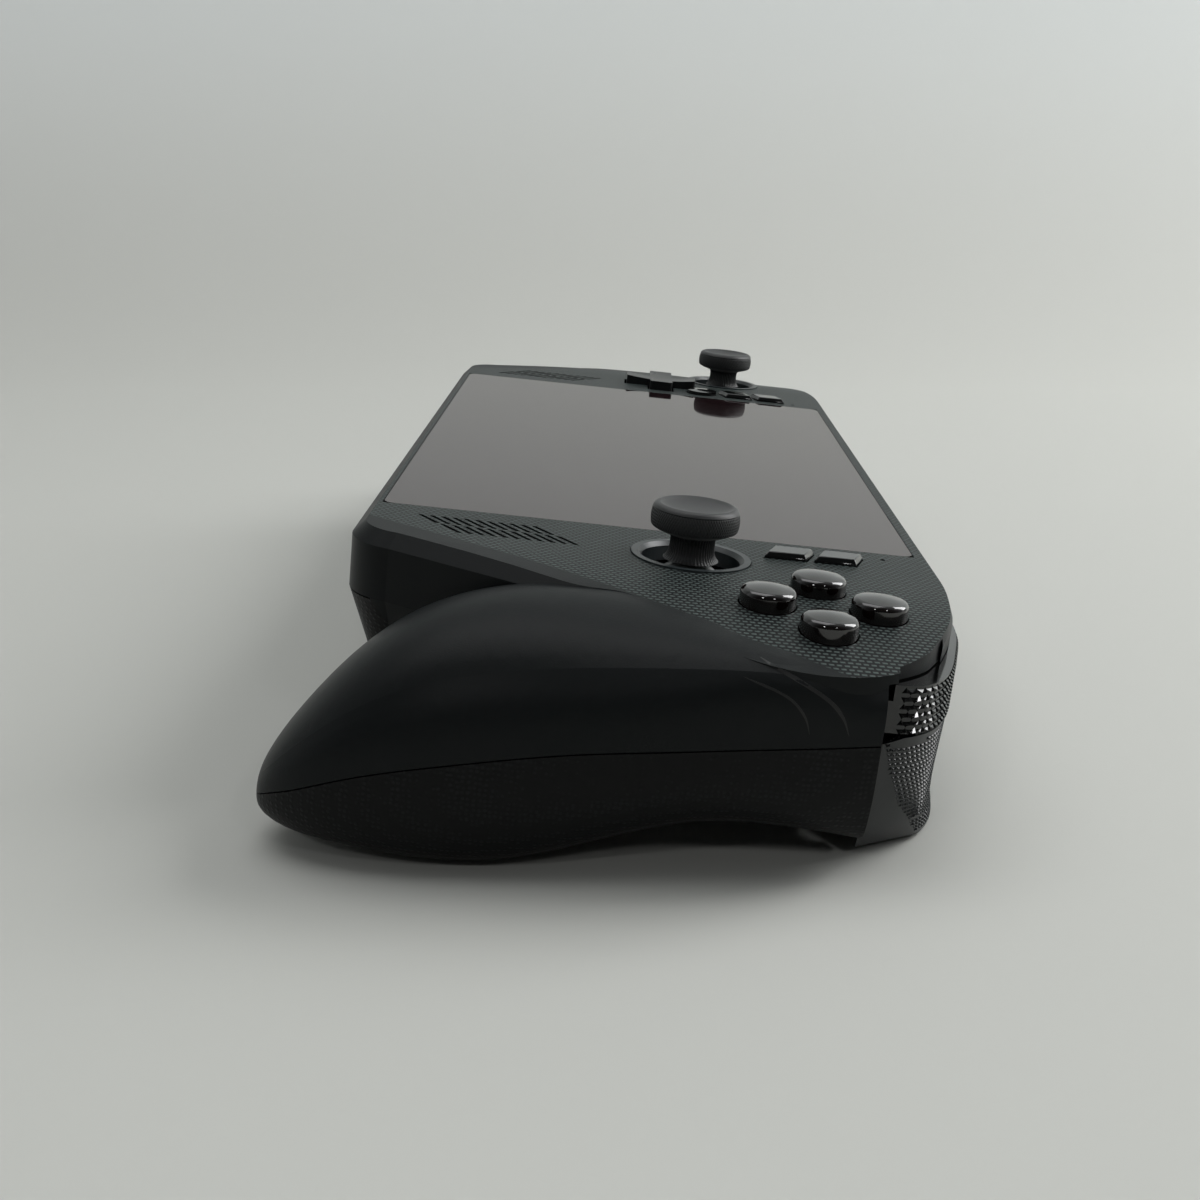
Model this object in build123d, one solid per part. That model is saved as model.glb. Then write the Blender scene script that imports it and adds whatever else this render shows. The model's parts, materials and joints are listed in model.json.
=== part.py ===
"""Handheld game console with full grips, built as the separate pieces it comes apart into.

Millimetres. The pieces are modelled in the console's own frame: X along its length, +Y towards
the top edge with the triggers, +Z out of the screen, with zero on the front of the glass.
At the end everything is tipped and lifted to lie as the console rests on a table.
"""
from build123d import *
import math
import os

os.makedirs("parts", exist_ok=True)

# Overall sizes of the casing
half_length = 145.4
half_width = 60.75
grip_depth = 44.5
body_half_width = 52.5
body_depth = 29.0
seam_depth = 12.0
wall = 1.8
rest_tilt = 6.0

# Edges of the centre body
bevel_depth = 2.5
bevel_inset = 2.3
top_bevel_inset = 0.9
back_inset = 6.3
top_straight = 98.0
curve_start = 106.0
curve_radius = 175.0
seam_gap = 0.25
overrun = 10.0
grip_join = 104.0

# Clearances
glass_gap = 0.15
button_gap = 0.2
seat_gap = 0.1
running_gap = 0.05
swing_gap = 0.3

# Screen
glass_length = 164.0
glass_width = 99.0
glass_thick = 0.9
glass_corner = 2.0
ledge = 1.3
panel_length = 156.0
panel_width = 90.0
panel_thick = 2.0

# Outline of the body's right half: x and y as shares of half_length and body_half_width,
# then the direction in degrees that the edge faces, then the width of the bevel there as a
# share of bevel_inset.
shoulder_shares = [
    (0.777, 0.977, 80, 1.0), (0.867, 0.906, 66, 1.0), (0.929, 0.832, 52, 1.9),
    (0.970, 0.732, 35, 2.6), (0.990, 0.590, 12, 2.3), (0.987, 0.381, -15, 1.4),
    (0.949, 0.172, -42, 1.0), (0.901, 0.038, -45, 1.0), (0.853, -0.095, -35, 1.0)]
diagonal_top_share = (0.836, -0.305)
diagonal_low_share = (0.724, -0.856)
corner_middle_share = (0.699, -0.960)
corner_end_share = (0.648, -1.004)
corner_middle_faces = -60

# Cross-sections of the right grip, from the trigger end to the tip. Shares of half_width (y),
# of half_length (x: inner side, crown, outer side) and of grip_depth (z: top, widest, bottom),
# then the roundness of the outer upper, outer lower and inner quarters.
grip_shares = [
    (0.658, 0.805, 0.88, 0.986, -0.090, -0.322, -0.760, 6.0, 4.0, 4.0),
    (0.444, 0.77, 0.86, 0.9985, -0.074, -0.348, -0.731, 6.0, 4.0, 3.5),
    (0.247, 0.743, 0.839, 1, -0.049, -0.382, -0.734, 5.0, 4.0, 3.0),
    (0.082, 0.722, 0.832, 1, -0.029, -0.414, -0.785, 3.2, 4.0, 2.6),
    (-0.099, 0.708, 0.832, 1, -0.020, -0.447, -0.879, 2.5, 4.1, 2.3),
    (-0.28, 0.712, 0.846, 0.999, -0.031, -0.492, -0.961, 2.3, 4.2, 2.2),
    (-0.444, 0.719, 0.856, 0.9966, -0.070, -0.544, -0.995, 2.2, 4.2, 2.2),
    (-0.609, 0.729, 0.86, 0.99, -0.166, -0.605, -1.000, 2.2, 4.0, 2.2),
    (-0.757, 0.746, 0.863, 0.976, -0.327, -0.681, -0.995, 2.2, 3.6, 2.2),
    (-0.889, 0.77, 0.866, 0.951, -0.544, -0.773, -0.986, 2.2, 3.0, 2.2),
    (-0.971, 0.806, 0.866, 0.92, -0.720, -0.839, -0.957, 2.2, 2.5, 2.2),
    (-0.998, 0.846, 0.866, 0.886, -0.826, -0.874, -0.932, 2.2, 2.2, 2.2)]
points_in_quarter = 5
thin_section = 0.3

# Shoulder buttons
shoulder_edge = 36.5
shoulder_pocket = 33.0
shoulder_wall = 1.0
bumper_start = 92.4
bumper_high = 5.6
bumper_low = 13.4
bumper_wall = 2.2
bumper_shelf = 4.6
bumper_shelf_thick = 1.6
bumper_room = 1.2
bumper_tip_drop = 2.6
# Where the face draws back over the end of the bumper: shares of half_length and half_width.
notch_shares = [
    (0.9592, 0.6295), (0.9423, 0.6730), (0.9173, 0.7210), (0.8904, 0.7521), (0.8755, 0.7696)]
bumper_pin_radius = 1.0
bumper_lug_radius = 2.4
bumper_pin_share = (0.660, 0.955)
bumper_shares = [
    (0.6355, 1.012, 92), (0.688, 1.018, 88), (0.757, 1.008, 82), (0.825, 0.970, 70),
    (0.894, 0.922, 64), (0.942, 0.862, 50), (0.966, 0.789, 25), (0.9705, 0.709, 3),
    (0.9705, 0.659, 0)]
trigger_start = 98.4
trigger_high = 14.8
trigger_wall = 1.8
trigger_back_start = 43.2
trigger_pocket_start = 36.6
trigger_pocket_end = 31.4
trigger_pin_radius = 1.0
trigger_relief_start = 40.9
trigger_relief_angle = 13
trigger_pin_y = 40.0
trigger_pin_z = -18.8
trigger_rib = 1.6
trigger_lug_radius = 2.2
# Levels of the trigger as shares of grip_depth, each with the offset of its face from the
# bumper's as a share of half_width and the place where face and side meet.
trigger_level_shares = [(-0.3326, -0.004), (-0.454, -0.009), (-0.609, -0.014), (-0.802, 0.006)]
trigger_corner_shares = [(0.966, 0.710), (0.955, 0.745), (0.930, 0.800), (0.872, 0.916)]
trigger_side_shares = [0.967, 0.963, 0.948, 0.925]

# Thumb sticks
stick_places = {"right": (98.2, 7.3), "left": (-114.5, 24.2)}
ring_radius = 10.6
ring_bore = 8.7
ring_proud = 0.25
ring_foot = 1.2
ring_flange = 1.4
stick_pivot = -9.0
dome_radius = 8.2
dome_wall = 1.0
dome_top = -1.2
dome_skirt = 1.4
hub_radius = 2.2
hub_reach = 2.0
shaft_radius = 1.15
yoke_radius = 5.4
yoke_band = 1.2
yoke_thick = 1.6
trunnion_radius = 0.55
ear_thick = 0.9
ear_width = 3.0
module_size = 14.4
module_top = -12.5
module_bottom = -20.0
sensor_thick = 2.6
cap_radius = 7.75
cap_top = 9.4
cap_under = 4.0
cap_neck = 4.5
stick_tilt = 18
cap_dish = 1.1
stem_radius = 3.9
stem_bottom = -0.5
cap_round = 1.9

# Face buttons and direction pad
cross_centre = (121.1, 28.2)
cross_reach = 9.1
button_radius = 4.7
button_proud = 3.2
button_crown = 16.0
button_round = 1.1
guide_crown = 30.0
button_flange = 0.6
flange_thick = 1.0
button_foot = -5.4
pad_place = (-98.2, 5.0)
pad_reach = 10.0
pad_arm = 6.4
pad_proud = 2.4
pad_dish_radius = 10.6
pad_hole_gap = 0.6
pad_dish_thick = 1.1
pad_dish_top = -2.9
pad_dish_depth = 0.7
pad_round = 0.7
pad_pivot_z = -6.0
pad_ear_far = 3.4
pad_ear_near = 2.2
pad_axle_radius = 0.7
pad_ear_width = 2.4
pivot_block = 3.6
guide_place = (-90.2, 16.9)
guide_radius = 4.2
menu_length = 7.6
menu_wide = 5.8
menu_slant = 2.0
menu_flange = 0.35
menu_proud = 1.2
menu_places = {"library_button": (91.0, 25.4), "menu_button": (90.8, 34.4),
               "view_button": (-89.5, 35.8), "command_button": (-89.5, 26.6)}

# Boards and rubber under the buttons
board_top = -8.0
board_thick = 1.0
rubber_thick = 1.2
post_radius = 1.5
board_post_places = {"right": [(121.1, 28.2), (99.0, 36.0)],
                     "left": [(-106.5, -4.5), (-87.9, -4.5)]}
# Corners of the right control board as steps from the middle of the four buttons, in shares of
# their reach from it.
board_corner_shares = [(-1.5, -1.5), (1.5, -1.5), (1.5, 0.3), (0.53, 1.4), (-1.5, 1.4)]

# Speakers and their slots
speaker_places = [(91.0, -29.5), (96.5, -24.9)]
slot_count = 11
slot_pitch = 2.07
slot_length = 4.9
slot_wide = 0.95
slot_slant = 0.75
speaker_size = (13.5, 27.0, 5.6)
microphone_place = (86.4, 43.1)
microphone_radius = 0.5

# Inner frame, boards and power
frame_top = -3.1
frame_thick = 1.2
frame_half_length = 84.3
frame_half_width = 48.0
frame_flange = 3.0
board_half_length = 70.0
main_board_top = -12.2
main_board_low_y = -4.0
main_board_high_y = 46.0
standoff_radius = 2.4
battery_half_length = 62.0
battery_low_y = -46.0
battery_high_y = -8.0
battery_thick = 12.0
chip_size = (26.0, 18.0, 1.2)
chip_y = 29.0
drive_size = (22.0, 18.0, 2.2)
drive_y = 6.5
plate_size = (44.0, 20.0, 2.8)
pipe_thick = 2.0
fan_x = 47.0
fan_y = 20.0
fan_length = 44.0
fan_width = 40.0
fan_top = -17.0
fan_bottom = -26.0
fan_wall = 0.9
fan_inlet = 14.0
rotor_radius = 16.5
rotor_hub = 7.0
rotor_blades = 17
blade_thick = 0.7
axle_radius = 1.2
fin_count = 15
fin_thick = 0.5
fin_low_y = 40.6
fin_high_y = 46.4

# Openings in the back and the top edge
vent_count = 11
vent_pitch = 4.4
vent_wide = 2.0
vent_length = 30.0
vent_slant_degrees = 28
exhaust_count = 12
exhaust_pitch = 3.0
exhaust_wide = 1.7
exhaust_high = 6.0
exhaust_z = -22.2
port_z = -15.2
usb_places = [6.0, 22.0]
usb_size = (8.9, 3.2, 9.0)
usb_wall = 0.35
card_x = -37.5
card_size = (12.0, 1.4, 14.0)
card_body = (14.0, 2.6, 15.0)
jack_x = 74.0
jack_radius = 1.75
jack_size = (6.4, 5.6, 13.0)
power_x = -75.5
power_size = (12.0, 4.4)
volume_x = -56.0
volume_size = (21.0, 4.4)
edge_button_proud = 0.5
rocker_nose_radius = 1.2

# Screws, grip buttons and motors
screw_shares = [(0.604, 0.857), (0.664, -0.848), (0.880, 0.095)]
screw_radius = 1.1
screw_head = 2.1
screw_head_thick = 1.2
screw_sink = 1.6
boss_radius = 3.0
boss_gap = 0.3
screw_length = 16.0
back_button_place = (115.0, -3.0)
back_button_length = 22.0
back_button_width = 9.0
back_button_proud = 0.8
back_button_thick = 2.4
motor_place = (124.0, -33.0)
motor_size = (16.0, 14.0, 9.0)
motor_top = -20.0

nodes = {}


def keep(name, shape):
    """File a finished piece under its node's name."""
    nodes[name] = shape


def block(x, y, z):
    """A box between the pairs of limits x, y and z."""
    size = [abs(pair[1] - pair[0]) for pair in (x, y, z)]
    middle = [(pair[0] + pair[1]) / 2 for pair in (x, y, z)]
    return Pos(*middle) * Box(*size)


def post(x, y, radius, low, high):
    """An upright cylinder between two heights."""
    return Pos(x, y, (low + high) / 2) * Cylinder(radius, abs(high - low))


def rod_x(x, y, z, radius):
    """A cylinder along X between the limits x."""
    return Pos((x[0] + x[1]) / 2, y, z) * Rot(0, 90, 0) * Cylinder(radius, abs(x[1] - x[0]))


def rod_y(x, y, z, radius):
    """A cylinder along Y between the limits y."""
    return Pos(x, (y[0] + y[1]) / 2, z) * Rot(90, 0, 0) * Cylinder(radius, abs(y[1] - y[0]))


def flipped(shape):
    """The same piece on the other side of the console."""
    return mirror(shape, about=Plane.YZ)


def both(shape):
    """A piece and its twin on the other side."""
    return [shape, flipped(shape)]


def face_height(x, drop=0):
    """Height of the face at x: flat in the middle, falling away on a large radius at the ends."""
    past = max(abs(x) - curve_start, 0)
    return -curve_radius + math.sqrt((curve_radius - drop) ** 2 - past ** 2)


def edge_height(z):
    """Y of the top edge's outer wall at a height on the tapered rear half."""
    return body_half_width - back_inset * (-z - seam_depth) / (body_depth - seam_depth)


# The centre body

diagonal_faces = math.degrees(math.atan2(
    -(diagonal_top_share[0] - diagonal_low_share[0]) * half_length,
    (diagonal_top_share[1] - diagonal_low_share[1]) * body_half_width))


def edge_point(share, facing, inset, thickness):
    """A point of the outline, moved in along its facing by a bevel and a wall."""
    out_x = math.cos(math.radians(facing))
    out_y = math.sin(math.radians(facing))
    upper = min(inset, inset * top_bevel_inset / bevel_inset) if out_y > 0.9 else inset
    return (share[0] * half_length - out_x * (upper + thickness),
            share[1] * body_half_width - out_y * (upper + thickness))


def outline(z, inset, thickness):
    """The body's outline at a height, with its cut lower corners and round shoulders."""
    def half(sign):
        def at(share, facing, bevel_share=1):
            spread = bevel_share if z > -bevel_depth else 1
            x, y = edge_point(share, facing, inset * spread, thickness)
            return (sign * x, y, z)
        top = at((top_straight / half_length, 1), 90)
        low = at(diagonal_low_share, diagonal_faces)
        end = at(corner_end_share, -90)
        bend = [at(share[:2], *share[2:]) for share in shoulder_shares]
        bend = [top] + bend + [at(diagonal_top_share, diagonal_faces)]
        fall = ((diagonal_low_share[0] - diagonal_top_share[0]) * half_length * sign,
                (diagonal_low_share[1] - diagonal_top_share[1]) * body_half_width, 0)
        side = Spline(*bend, tangents=[(sign, 0, 0), fall])
        corner = ThreePointArc(low, at(corner_middle_share, corner_middle_faces), end)
        return top, end, [side, Line(bend[-1], low), corner]
    right_top, right_end, right = half(1)
    left_top, left_end, left = half(-1)
    return Wire([Line(left_top, right_top)] + right + [Line(right_end, left_end)] + left)


def under_face(drop):
    """Everything below the face, flat in the middle and curved down at both ends."""
    far = half_length + overrun
    middle = (curve_start + far) / 2
    low = -grip_depth - overrun
    y = -half_width - overrun
    top = [(curve_start, y, -drop), (middle, y, face_height(middle, drop)),
           (far, y, face_height(far, drop))]
    other = [(-x, y, z) for x, y, z in top]
    edges = [Line(other[0], top[0]), ThreePointArc(*top), Line(top[2], (far, y, low)),
             Line((far, y, low), (-far, y, low)), Line((-far, y, low), other[2]),
             ThreePointArc(*other[::-1])]
    return extrude(Face(Wire(edges)), amount=-2 * y, dir=(0, 1, 0))


def body(thickness=0):
    """The centre body: bevelled front, upright rim and a tapered rear half."""
    levels = [(-body_depth + thickness, back_inset), (-seam_depth, 0),
              (-bevel_depth, 0), (0, bevel_inset)]
    wires = [outline(z, inset, thickness) for z, inset in levels]
    return Solid.make_loft(wires, ruled=True) & under_face(thickness)


# The grips

def quarter_points(section, thickness):
    """Points round one grip section, four quarters of different roundness."""
    y, inner, crown, outer, top, wide, bottom, round_high, round_low, round_in = section
    outward = (outer - crown) * half_length - thickness
    inward = (crown - inner) * half_length - thickness
    upward = (top - wide) * grip_depth - thickness
    downward = (wide - bottom) * grip_depth - thickness
    if min(outward, inward, upward, downward) < thin_section:
        return []
    quarters = [(outward, upward, round_high), (-inward, upward, round_in),
                (-inward, -downward, round_in), (outward, -downward, round_low)]
    points = []
    for number, (across, along, roundness) in enumerate(quarters):
        for step in range(points_in_quarter):
            turn = math.pi / 2 * step / points_in_quarter
            turn = math.pi / 2 - turn if number % 2 else turn
            points.append((crown * half_length + across * math.cos(turn) ** (2 / roundness),
                           y * half_width,
                           wide * grip_depth + along * math.sin(turn) ** (2 / roundness)))
    return points


def grip(thickness=0):
    """The right grip, lofted along Y through its sections."""
    rings = [quarter_points(section, thickness) for section in grip_shares]
    start = points_in_quarter // 2
    wires = [Wire([Spline(*ring[start:], *ring[:start], periodic=True)]) for ring in rings if ring]
    return Solid.make_loft(wires)


def below_seam(lower):
    """The space below the joint of the two shells: level in the body, sloping in the grips."""
    far = half_length + overrun
    floor = -grip_depth - overrun
    levels = [(section[0] * half_width, section[5] * grip_depth - lower)
              for section in grip_shares]
    start = (levels[0][0] + overrun * 2, levels[0][1])
    end = (levels[-1][0] - overrun, levels[-1][1])
    curve = Spline(*[(grip_join, y, z) for y, z in levels])
    edges = [Line((grip_join, *start), curve @ 0), curve, Line(curve @ 1, (grip_join, *end)),
             Line((grip_join, *end), (grip_join, end[0], floor)),
             Line((grip_join, end[0], floor), (grip_join, start[0], floor)),
             Line((grip_join, start[0], floor), (grip_join, *start))]
    side = extrude(Face(Wire(edges)), amount=far - grip_join, dir=(1, 0, 0))
    middle = block((-grip_join, grip_join), (end[0], start[0]), (floor, -seam_depth - lower))
    return middle + both(side)


# The shoulder buttons and the pockets that they sit in

def shoulder_curve(z, inset, shares=None):
    """The bumper's outline at a height, moved in by an inset."""
    points = []
    for share in shares or bumper_shares:
        x, y = edge_point(share, share[2], 0, inset)
        points.append((x, y, z))
    return points


def bumper_space(grow):
    """The bumper's pocket, grown by a wall: it follows the shelf's inner edge."""
    low, high = -trigger_high - grow, -bumper_high + swing_gap + grow
    start = bumper_start - swing_gap - grow
    end_y = shoulder_pocket - grow
    curve = shoulder_curve(low, bumper_shelf + bumper_room + grow)
    first = (start, curve[0][1], low)
    tail = (curve[-1][0], end_y, low)
    out_x, out_y = half_length + overrun, half_width + overrun
    edges = [Line(first, curve[0]), Spline(*curve), Line(curve[-1], tail),
             Line(tail, (out_x, end_y, low)), Line((out_x, end_y, low), (out_x, out_y, low)),
             Line((out_x, out_y, low), (start, out_y, low)), Line((start, out_y, low), first)]
    return extrude(Face(Wire(edges)), amount=high - low, dir=(0, 0, 1))


def trigger_space(grow):
    """The trigger's pocket, open at the bottom, grown by a wall."""
    start = trigger_start - swing_gap - grow
    side_x = trigger_side_shares[-1] * half_length
    end_y = trigger_pocket_end - grow
    points = [(start, trigger_pocket_start - grow), (side_x, end_y),
              (half_length + overrun, end_y), (half_length + overrun, half_width + overrun),
              (start, half_width + overrun)]
    return upright(points, -grip_depth - overrun, -trigger_high + grow)


def bumper():
    """The curved bumper: a wall round the corner, a shelf behind it and a lug on its pin."""
    def band(inset, low, high):
        outer = shoulder_curve(low, 0)
        inner = shoulder_curve(low, inset)
        edges = [Spline(*outer), Line(outer[-1], inner[-1]), Spline(*inner[::-1]),
                 Line(inner[0], outer[0])]
        return extrude(Face(Wire(edges)), amount=high - low, dir=(0, 0, 1))
    skin = band(bumper_wall, -bumper_low, -bumper_high)
    shelf = band(bumper_shelf, -bumper_high - bumper_shelf_thick, -bumper_high)
    x, y = bumper_pin_share[0] * half_length, bumper_pin_share[1] * body_half_width
    lug = post(x, y, bumper_lug_radius, -bumper_low, -bumper_high)
    arm = block((x - bumper_pin_radius, x + bumper_pin_radius),
                (y, bumper_shares[0][1] * body_half_width - bumper_wall / 2),
                (-bumper_low, -bumper_high))
    bore = post(x, y, bumper_pin_radius + running_gap, -bumper_low - overrun, overrun)
    tip = block((half_length - bumper_shelf - bumper_room - bumper_wall, half_length),
                (0, shoulder_edge + bumper_room), (-bumper_high - bumper_tip_drop, overrun))
    return skin + shelf + lug + arm - bore - tip


def trigger_section(z, lean, corner, side):
    """One level section of the trigger: curved face, corner and flat side."""
    front = [point for point in shoulder_curve(z, -lean, bumper_shares[:5])
             if point[0] > trigger_start and point[0] < corner[0] - trigger_pin_radius]
    points = [(trigger_start, front[0][1], z)] + front + [(*corner, z)]
    face = Spline(*points)
    back = (side, shoulder_edge + swing_gap, z)
    start = (trigger_start, trigger_back_start, z)
    return Wire([face, Line(points[-1], back), Line(back, start), Line(start, points[0])])


def trigger():
    """The trigger: a hollow paddle with a flared foot, turning on a pin inside it."""
    levels = []
    for level, corner, side in zip(trigger_level_shares, trigger_corner_shares,
                                   trigger_side_shares):
        levels.append((level[0] * grip_depth, level[1] * half_width,
                       (corner[0] * half_length, corner[1] * body_half_width),
                       side * half_length))
    skin = Solid.make_loft([trigger_section(*level) for level in levels], ruled=False)
    hollow = skin.moved(Location((-trigger_wall, -trigger_wall, 0)))
    room = block((trigger_start + trigger_rib, half_length), (0, half_width + overrun),
                 (-grip_depth - overrun, -trigger_high - trigger_wall))
    shape = skin - (hollow & room)
    high = -trigger_high - trigger_wall / 2
    far = trigger_corner_shares[0][0] * half_length - overrun
    for x in (trigger_start, far):
        ribs = (x, x + trigger_rib)
        shape += rod_x(ribs, trigger_pin_y, trigger_pin_z, trigger_lug_radius)
        shape += block(ribs, (trigger_pin_y - trigger_pin_radius,
                              trigger_back_start + trigger_wall), (trigger_pin_z, high))
    bore = rod_x((trigger_start - overrun, far + trigger_rib), trigger_pin_y, trigger_pin_z,
                 trigger_pin_radius + running_gap)
    fall = trigger_relief_start * math.tan(math.radians(trigger_relief_angle))
    high = -trigger_high
    relief = Face(Wire.make_polygon([
        (trigger_start - overrun, trigger_relief_start, high),
        (trigger_start - overrun, 0, high - fall), (trigger_start - overrun, 0, overrun),
        (trigger_start - overrun, trigger_relief_start, overrun)], close=True))
    return shape - bore - extrude(relief, amount=half_length, dir=(1, 0, 0))


def trigger_pin():
    """The pin that the trigger turns on, held in the end wall of its pocket."""
    far = trigger_corner_shares[0][0] * half_length - overrun + trigger_rib
    return rod_x((trigger_start - swing_gap - shoulder_wall, far), trigger_pin_y,
                 trigger_pin_z, trigger_pin_radius)


def bumper_pin():
    """The upright pin that the bumper turns on, between the roof and the floor of its pocket."""
    x, y = bumper_pin_share[0] * half_length, bumper_pin_share[1] * body_half_width
    return post(x, y, bumper_pin_radius, -trigger_high, -bumper_high + swing_gap)


# Cut-outs of the face

def menu_outline(place, grow):
    """The slanted outline of a small button beside the screen."""
    x, y = place
    sign = 1 if x > 0 else -1
    half_x = menu_wide / 2 + grow
    half_y = menu_length / 2 + grow
    lean = sign * menu_slant / 2
    return [(x - half_x, y - half_y + lean), (x + half_x, y - half_y - lean),
            (x + half_x, y + half_y - lean), (x - half_x, y + half_y + lean)]


def upright(points, low, high):
    """A prism over an outline of points."""
    corners = [(x, y, low) for x, y in points]
    return extrude(Face(Wire(Polyline(*corners, close=True))), amount=high - low,
                   dir=(0, 0, 1))


def pad_cross(grow, low, high):
    """The direction pad's plus shape between two heights."""
    x, y = pad_place
    reach = pad_reach + grow
    arm = pad_arm / 2 + grow
    return (block((x - reach, x + reach), (y - arm, y + arm), (low, high))
            + block((x - arm, x + arm), (y - reach, y + reach), (low, high)))


def cross_places():
    """Centres of the four face buttons by name."""
    x, y = cross_centre
    return {"action_button_low": (x, y - cross_reach), "action_button_high": (x, y + cross_reach),
            "action_button_inner": (x - cross_reach, y),
            "action_button_outer": (x + cross_reach, y)}


def speaker_slots():
    """Slanted slots over the right speaker, two rows that step with the body's corner."""
    slots = []
    for x, y in speaker_places:
        for number in range(slot_count):
            middle = y + (number - (slot_count - 1) / 2) * slot_pitch
            slant = slot_length * slot_slant / 2
            half = slot_length / 2
            edge = slot_wide / 2
            slots.append(upright([(x - half, middle - edge - slant), (x + half, middle - edge + slant),
                                  (x + half, middle + edge + slant),
                                  (x - half, middle + edge - slant)], -wall - overrun, overrun))
    return slots


def face_cuts():
    """What is cut out of the right and the left half of the front shell's face."""
    high = overrun
    low = -wall - bevel_depth
    half_x = glass_length / 2 + glass_gap
    half_y = glass_width / 2 + glass_gap
    shared = [block((-half_x, half_x), (-half_y, half_y), (-glass_thick - seat_gap, high)),
              block((-half_x + ledge, half_x - ledge), (-half_y + ledge, half_y - ledge),
                    (low, high)),
              *both(post(*microphone_place, microphone_radius, low, high))]
    right = []
    left = []
    for x, y in stick_places.values():
        side = right if x > 0 else left
        side.append(post(x, y, ring_radius + glass_gap, low, high))
    for x, y in cross_places().values():
        right.append(post(x, y, button_radius + button_gap, low - bevel_depth, high))
    left.append(pad_cross(pad_hole_gap, low, high))
    left.append(post(*guide_place, guide_radius + button_gap, low, high))
    for place in menu_places.values():
        side = right if place[0] > 0 else left
        side.append(upright(menu_outline(place, button_gap), low, high))
    slots = speaker_slots()
    return shared + right + slots, shared + left + [flipped(slot) for slot in slots]


# Cut-outs of the top edge and the back

def edge_box(x, z, width, height, low, high):
    """A box through the top edge, centred at x and z."""
    return block((x - width / 2, x + width / 2), (low, high), (z - height / 2, z + height / 2))


def edge_pill(x, z, size, grow, low, high):
    """A round-ended bar through the top edge."""
    radius = size[1] / 2 + grow
    reach = size[0] / 2 - size[1] / 2
    bar = block((x - reach, x + reach), (low, high), (z - radius, z + radius))
    return bar + rod_y(x - reach, (low, high), z, radius) + rod_y(x + reach, (low, high), z, radius)


def edge_cuts():
    """Exhaust slots, sockets and button holes in the right and left of the top edge."""
    low = edge_height(-body_depth) - 2 * wall
    high = half_width + overrun
    right = []
    for number in range(exhaust_count):
        x = fan_x + (number - (exhaust_count - 1) / 2) * exhaust_pitch
        right.append(edge_box(x, exhaust_z, exhaust_wide, exhaust_high, low, high))
    left = [flipped(slot) for slot in right]
    for x in usb_places:
        size = (usb_size[0] + 2 * usb_wall, usb_size[1] + 2 * usb_wall)
        right.append(edge_pill(x, port_z, size, seat_gap, low, high))
    right.append(rod_y(jack_x, (low, high), port_z, jack_radius + button_gap))
    left.append(edge_box(card_x, port_z, card_size[0], card_size[1], low, high))
    left.append(edge_pill(power_x, port_z, power_size, button_gap, low, high))
    left.append(edge_pill(volume_x, port_z, volume_size, 2 * button_gap, low, high))
    return right, left


def vent_cuts():
    """Slanted intake slots in the back, over the right fan."""
    cuts = []
    for number in range(vent_count):
        shift = (number - (vent_count - 1) / 2) * vent_pitch
        slot = Rot(0, 0, vent_slant_degrees) * Box(vent_wide, vent_length, 4 * wall)
        cuts.append(Pos(fan_x + shift, fan_y, -body_depth) * slot)
    return cuts


def back_face(x):
    """Height of the outer back at a screw: the body's, or the grip's beyond it."""
    return -body_depth if abs(x) < grip_join else grip_shares[3][6] * grip_depth


def back_button_shape(grow, low, high):
    """A round-ended bar along the grip, for the button behind it."""
    x, y = back_button_place
    radius = back_button_width / 2 + grow
    reach = back_button_length / 2 - back_button_width / 2
    bar = block((x - radius, x + radius), (y - reach, y + reach), (low, high))
    return bar + post(x, y - reach, radius, low, high) + post(x, y + reach, radius, low, high)


# Building the two shells: one half, then its twin

half_space = block((0, half_length + overrun), (-half_width - overrun, half_width + overrun),
                   (-grip_depth - overrun, overrun))
deep = -grip_depth - overrun
solid_grip = grip()


def half_form(thickness):
    """The right half of the casing's form, moved in by a thickness."""
    return (body(thickness) & half_space) + (grip(thickness) if thickness else solid_grip)


def half_casing(middle):
    """The right half of the hollow casing, with the pockets of the shoulder buttons."""
    pocket = bumper_space(0) + trigger_space(0)
    pocket_wall = (bumper_space(shoulder_wall) + trigger_space(shoulder_wall) - pocket) & middle
    beyond = block((0, half_length + overrun), (shoulder_edge, half_width + overrun),
                   (deep, overrun))
    beyond += block((trigger_start - swing_gap, trigger_side_shares[-1] * half_length + wall),
                    (trigger_pocket_end, shoulder_edge), (deep, -trigger_high))
    return half_form(0) - half_form(wall) + pocket_wall - (pocket & beyond)


def seam_level(x):
    """Height of the joint of the shells at a screw."""
    return -seam_depth if abs(x) < grip_join else grip_shares[3][5] * grip_depth


def joined(solids):
    """Solids that meet at the middle plane, fused."""
    return solids[0] + solids[1]


middle_form = half_form(wall / 2)
casing = half_casing(middle_form)
screw_places = [(x * half_length, y * body_half_width) for x, y in screw_shares]

def bumper_notch():
    """The bay in the face's rim over the end of the bumper."""
    low = -bumper_high
    points = [(x * half_length, y * half_width, low) for x, y in notch_shares]
    first = (half_length + overrun, shoulder_edge, low)
    last = (half_length + overrun, points[-1][1], low)
    edges = [Spline(*points), Line(points[-1], last), Line(last, first), Line(first, points[0])]
    return extrude(Face(Wire(edges)), amount=bumper_high + overrun, dir=(0, 0, 1))


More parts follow.
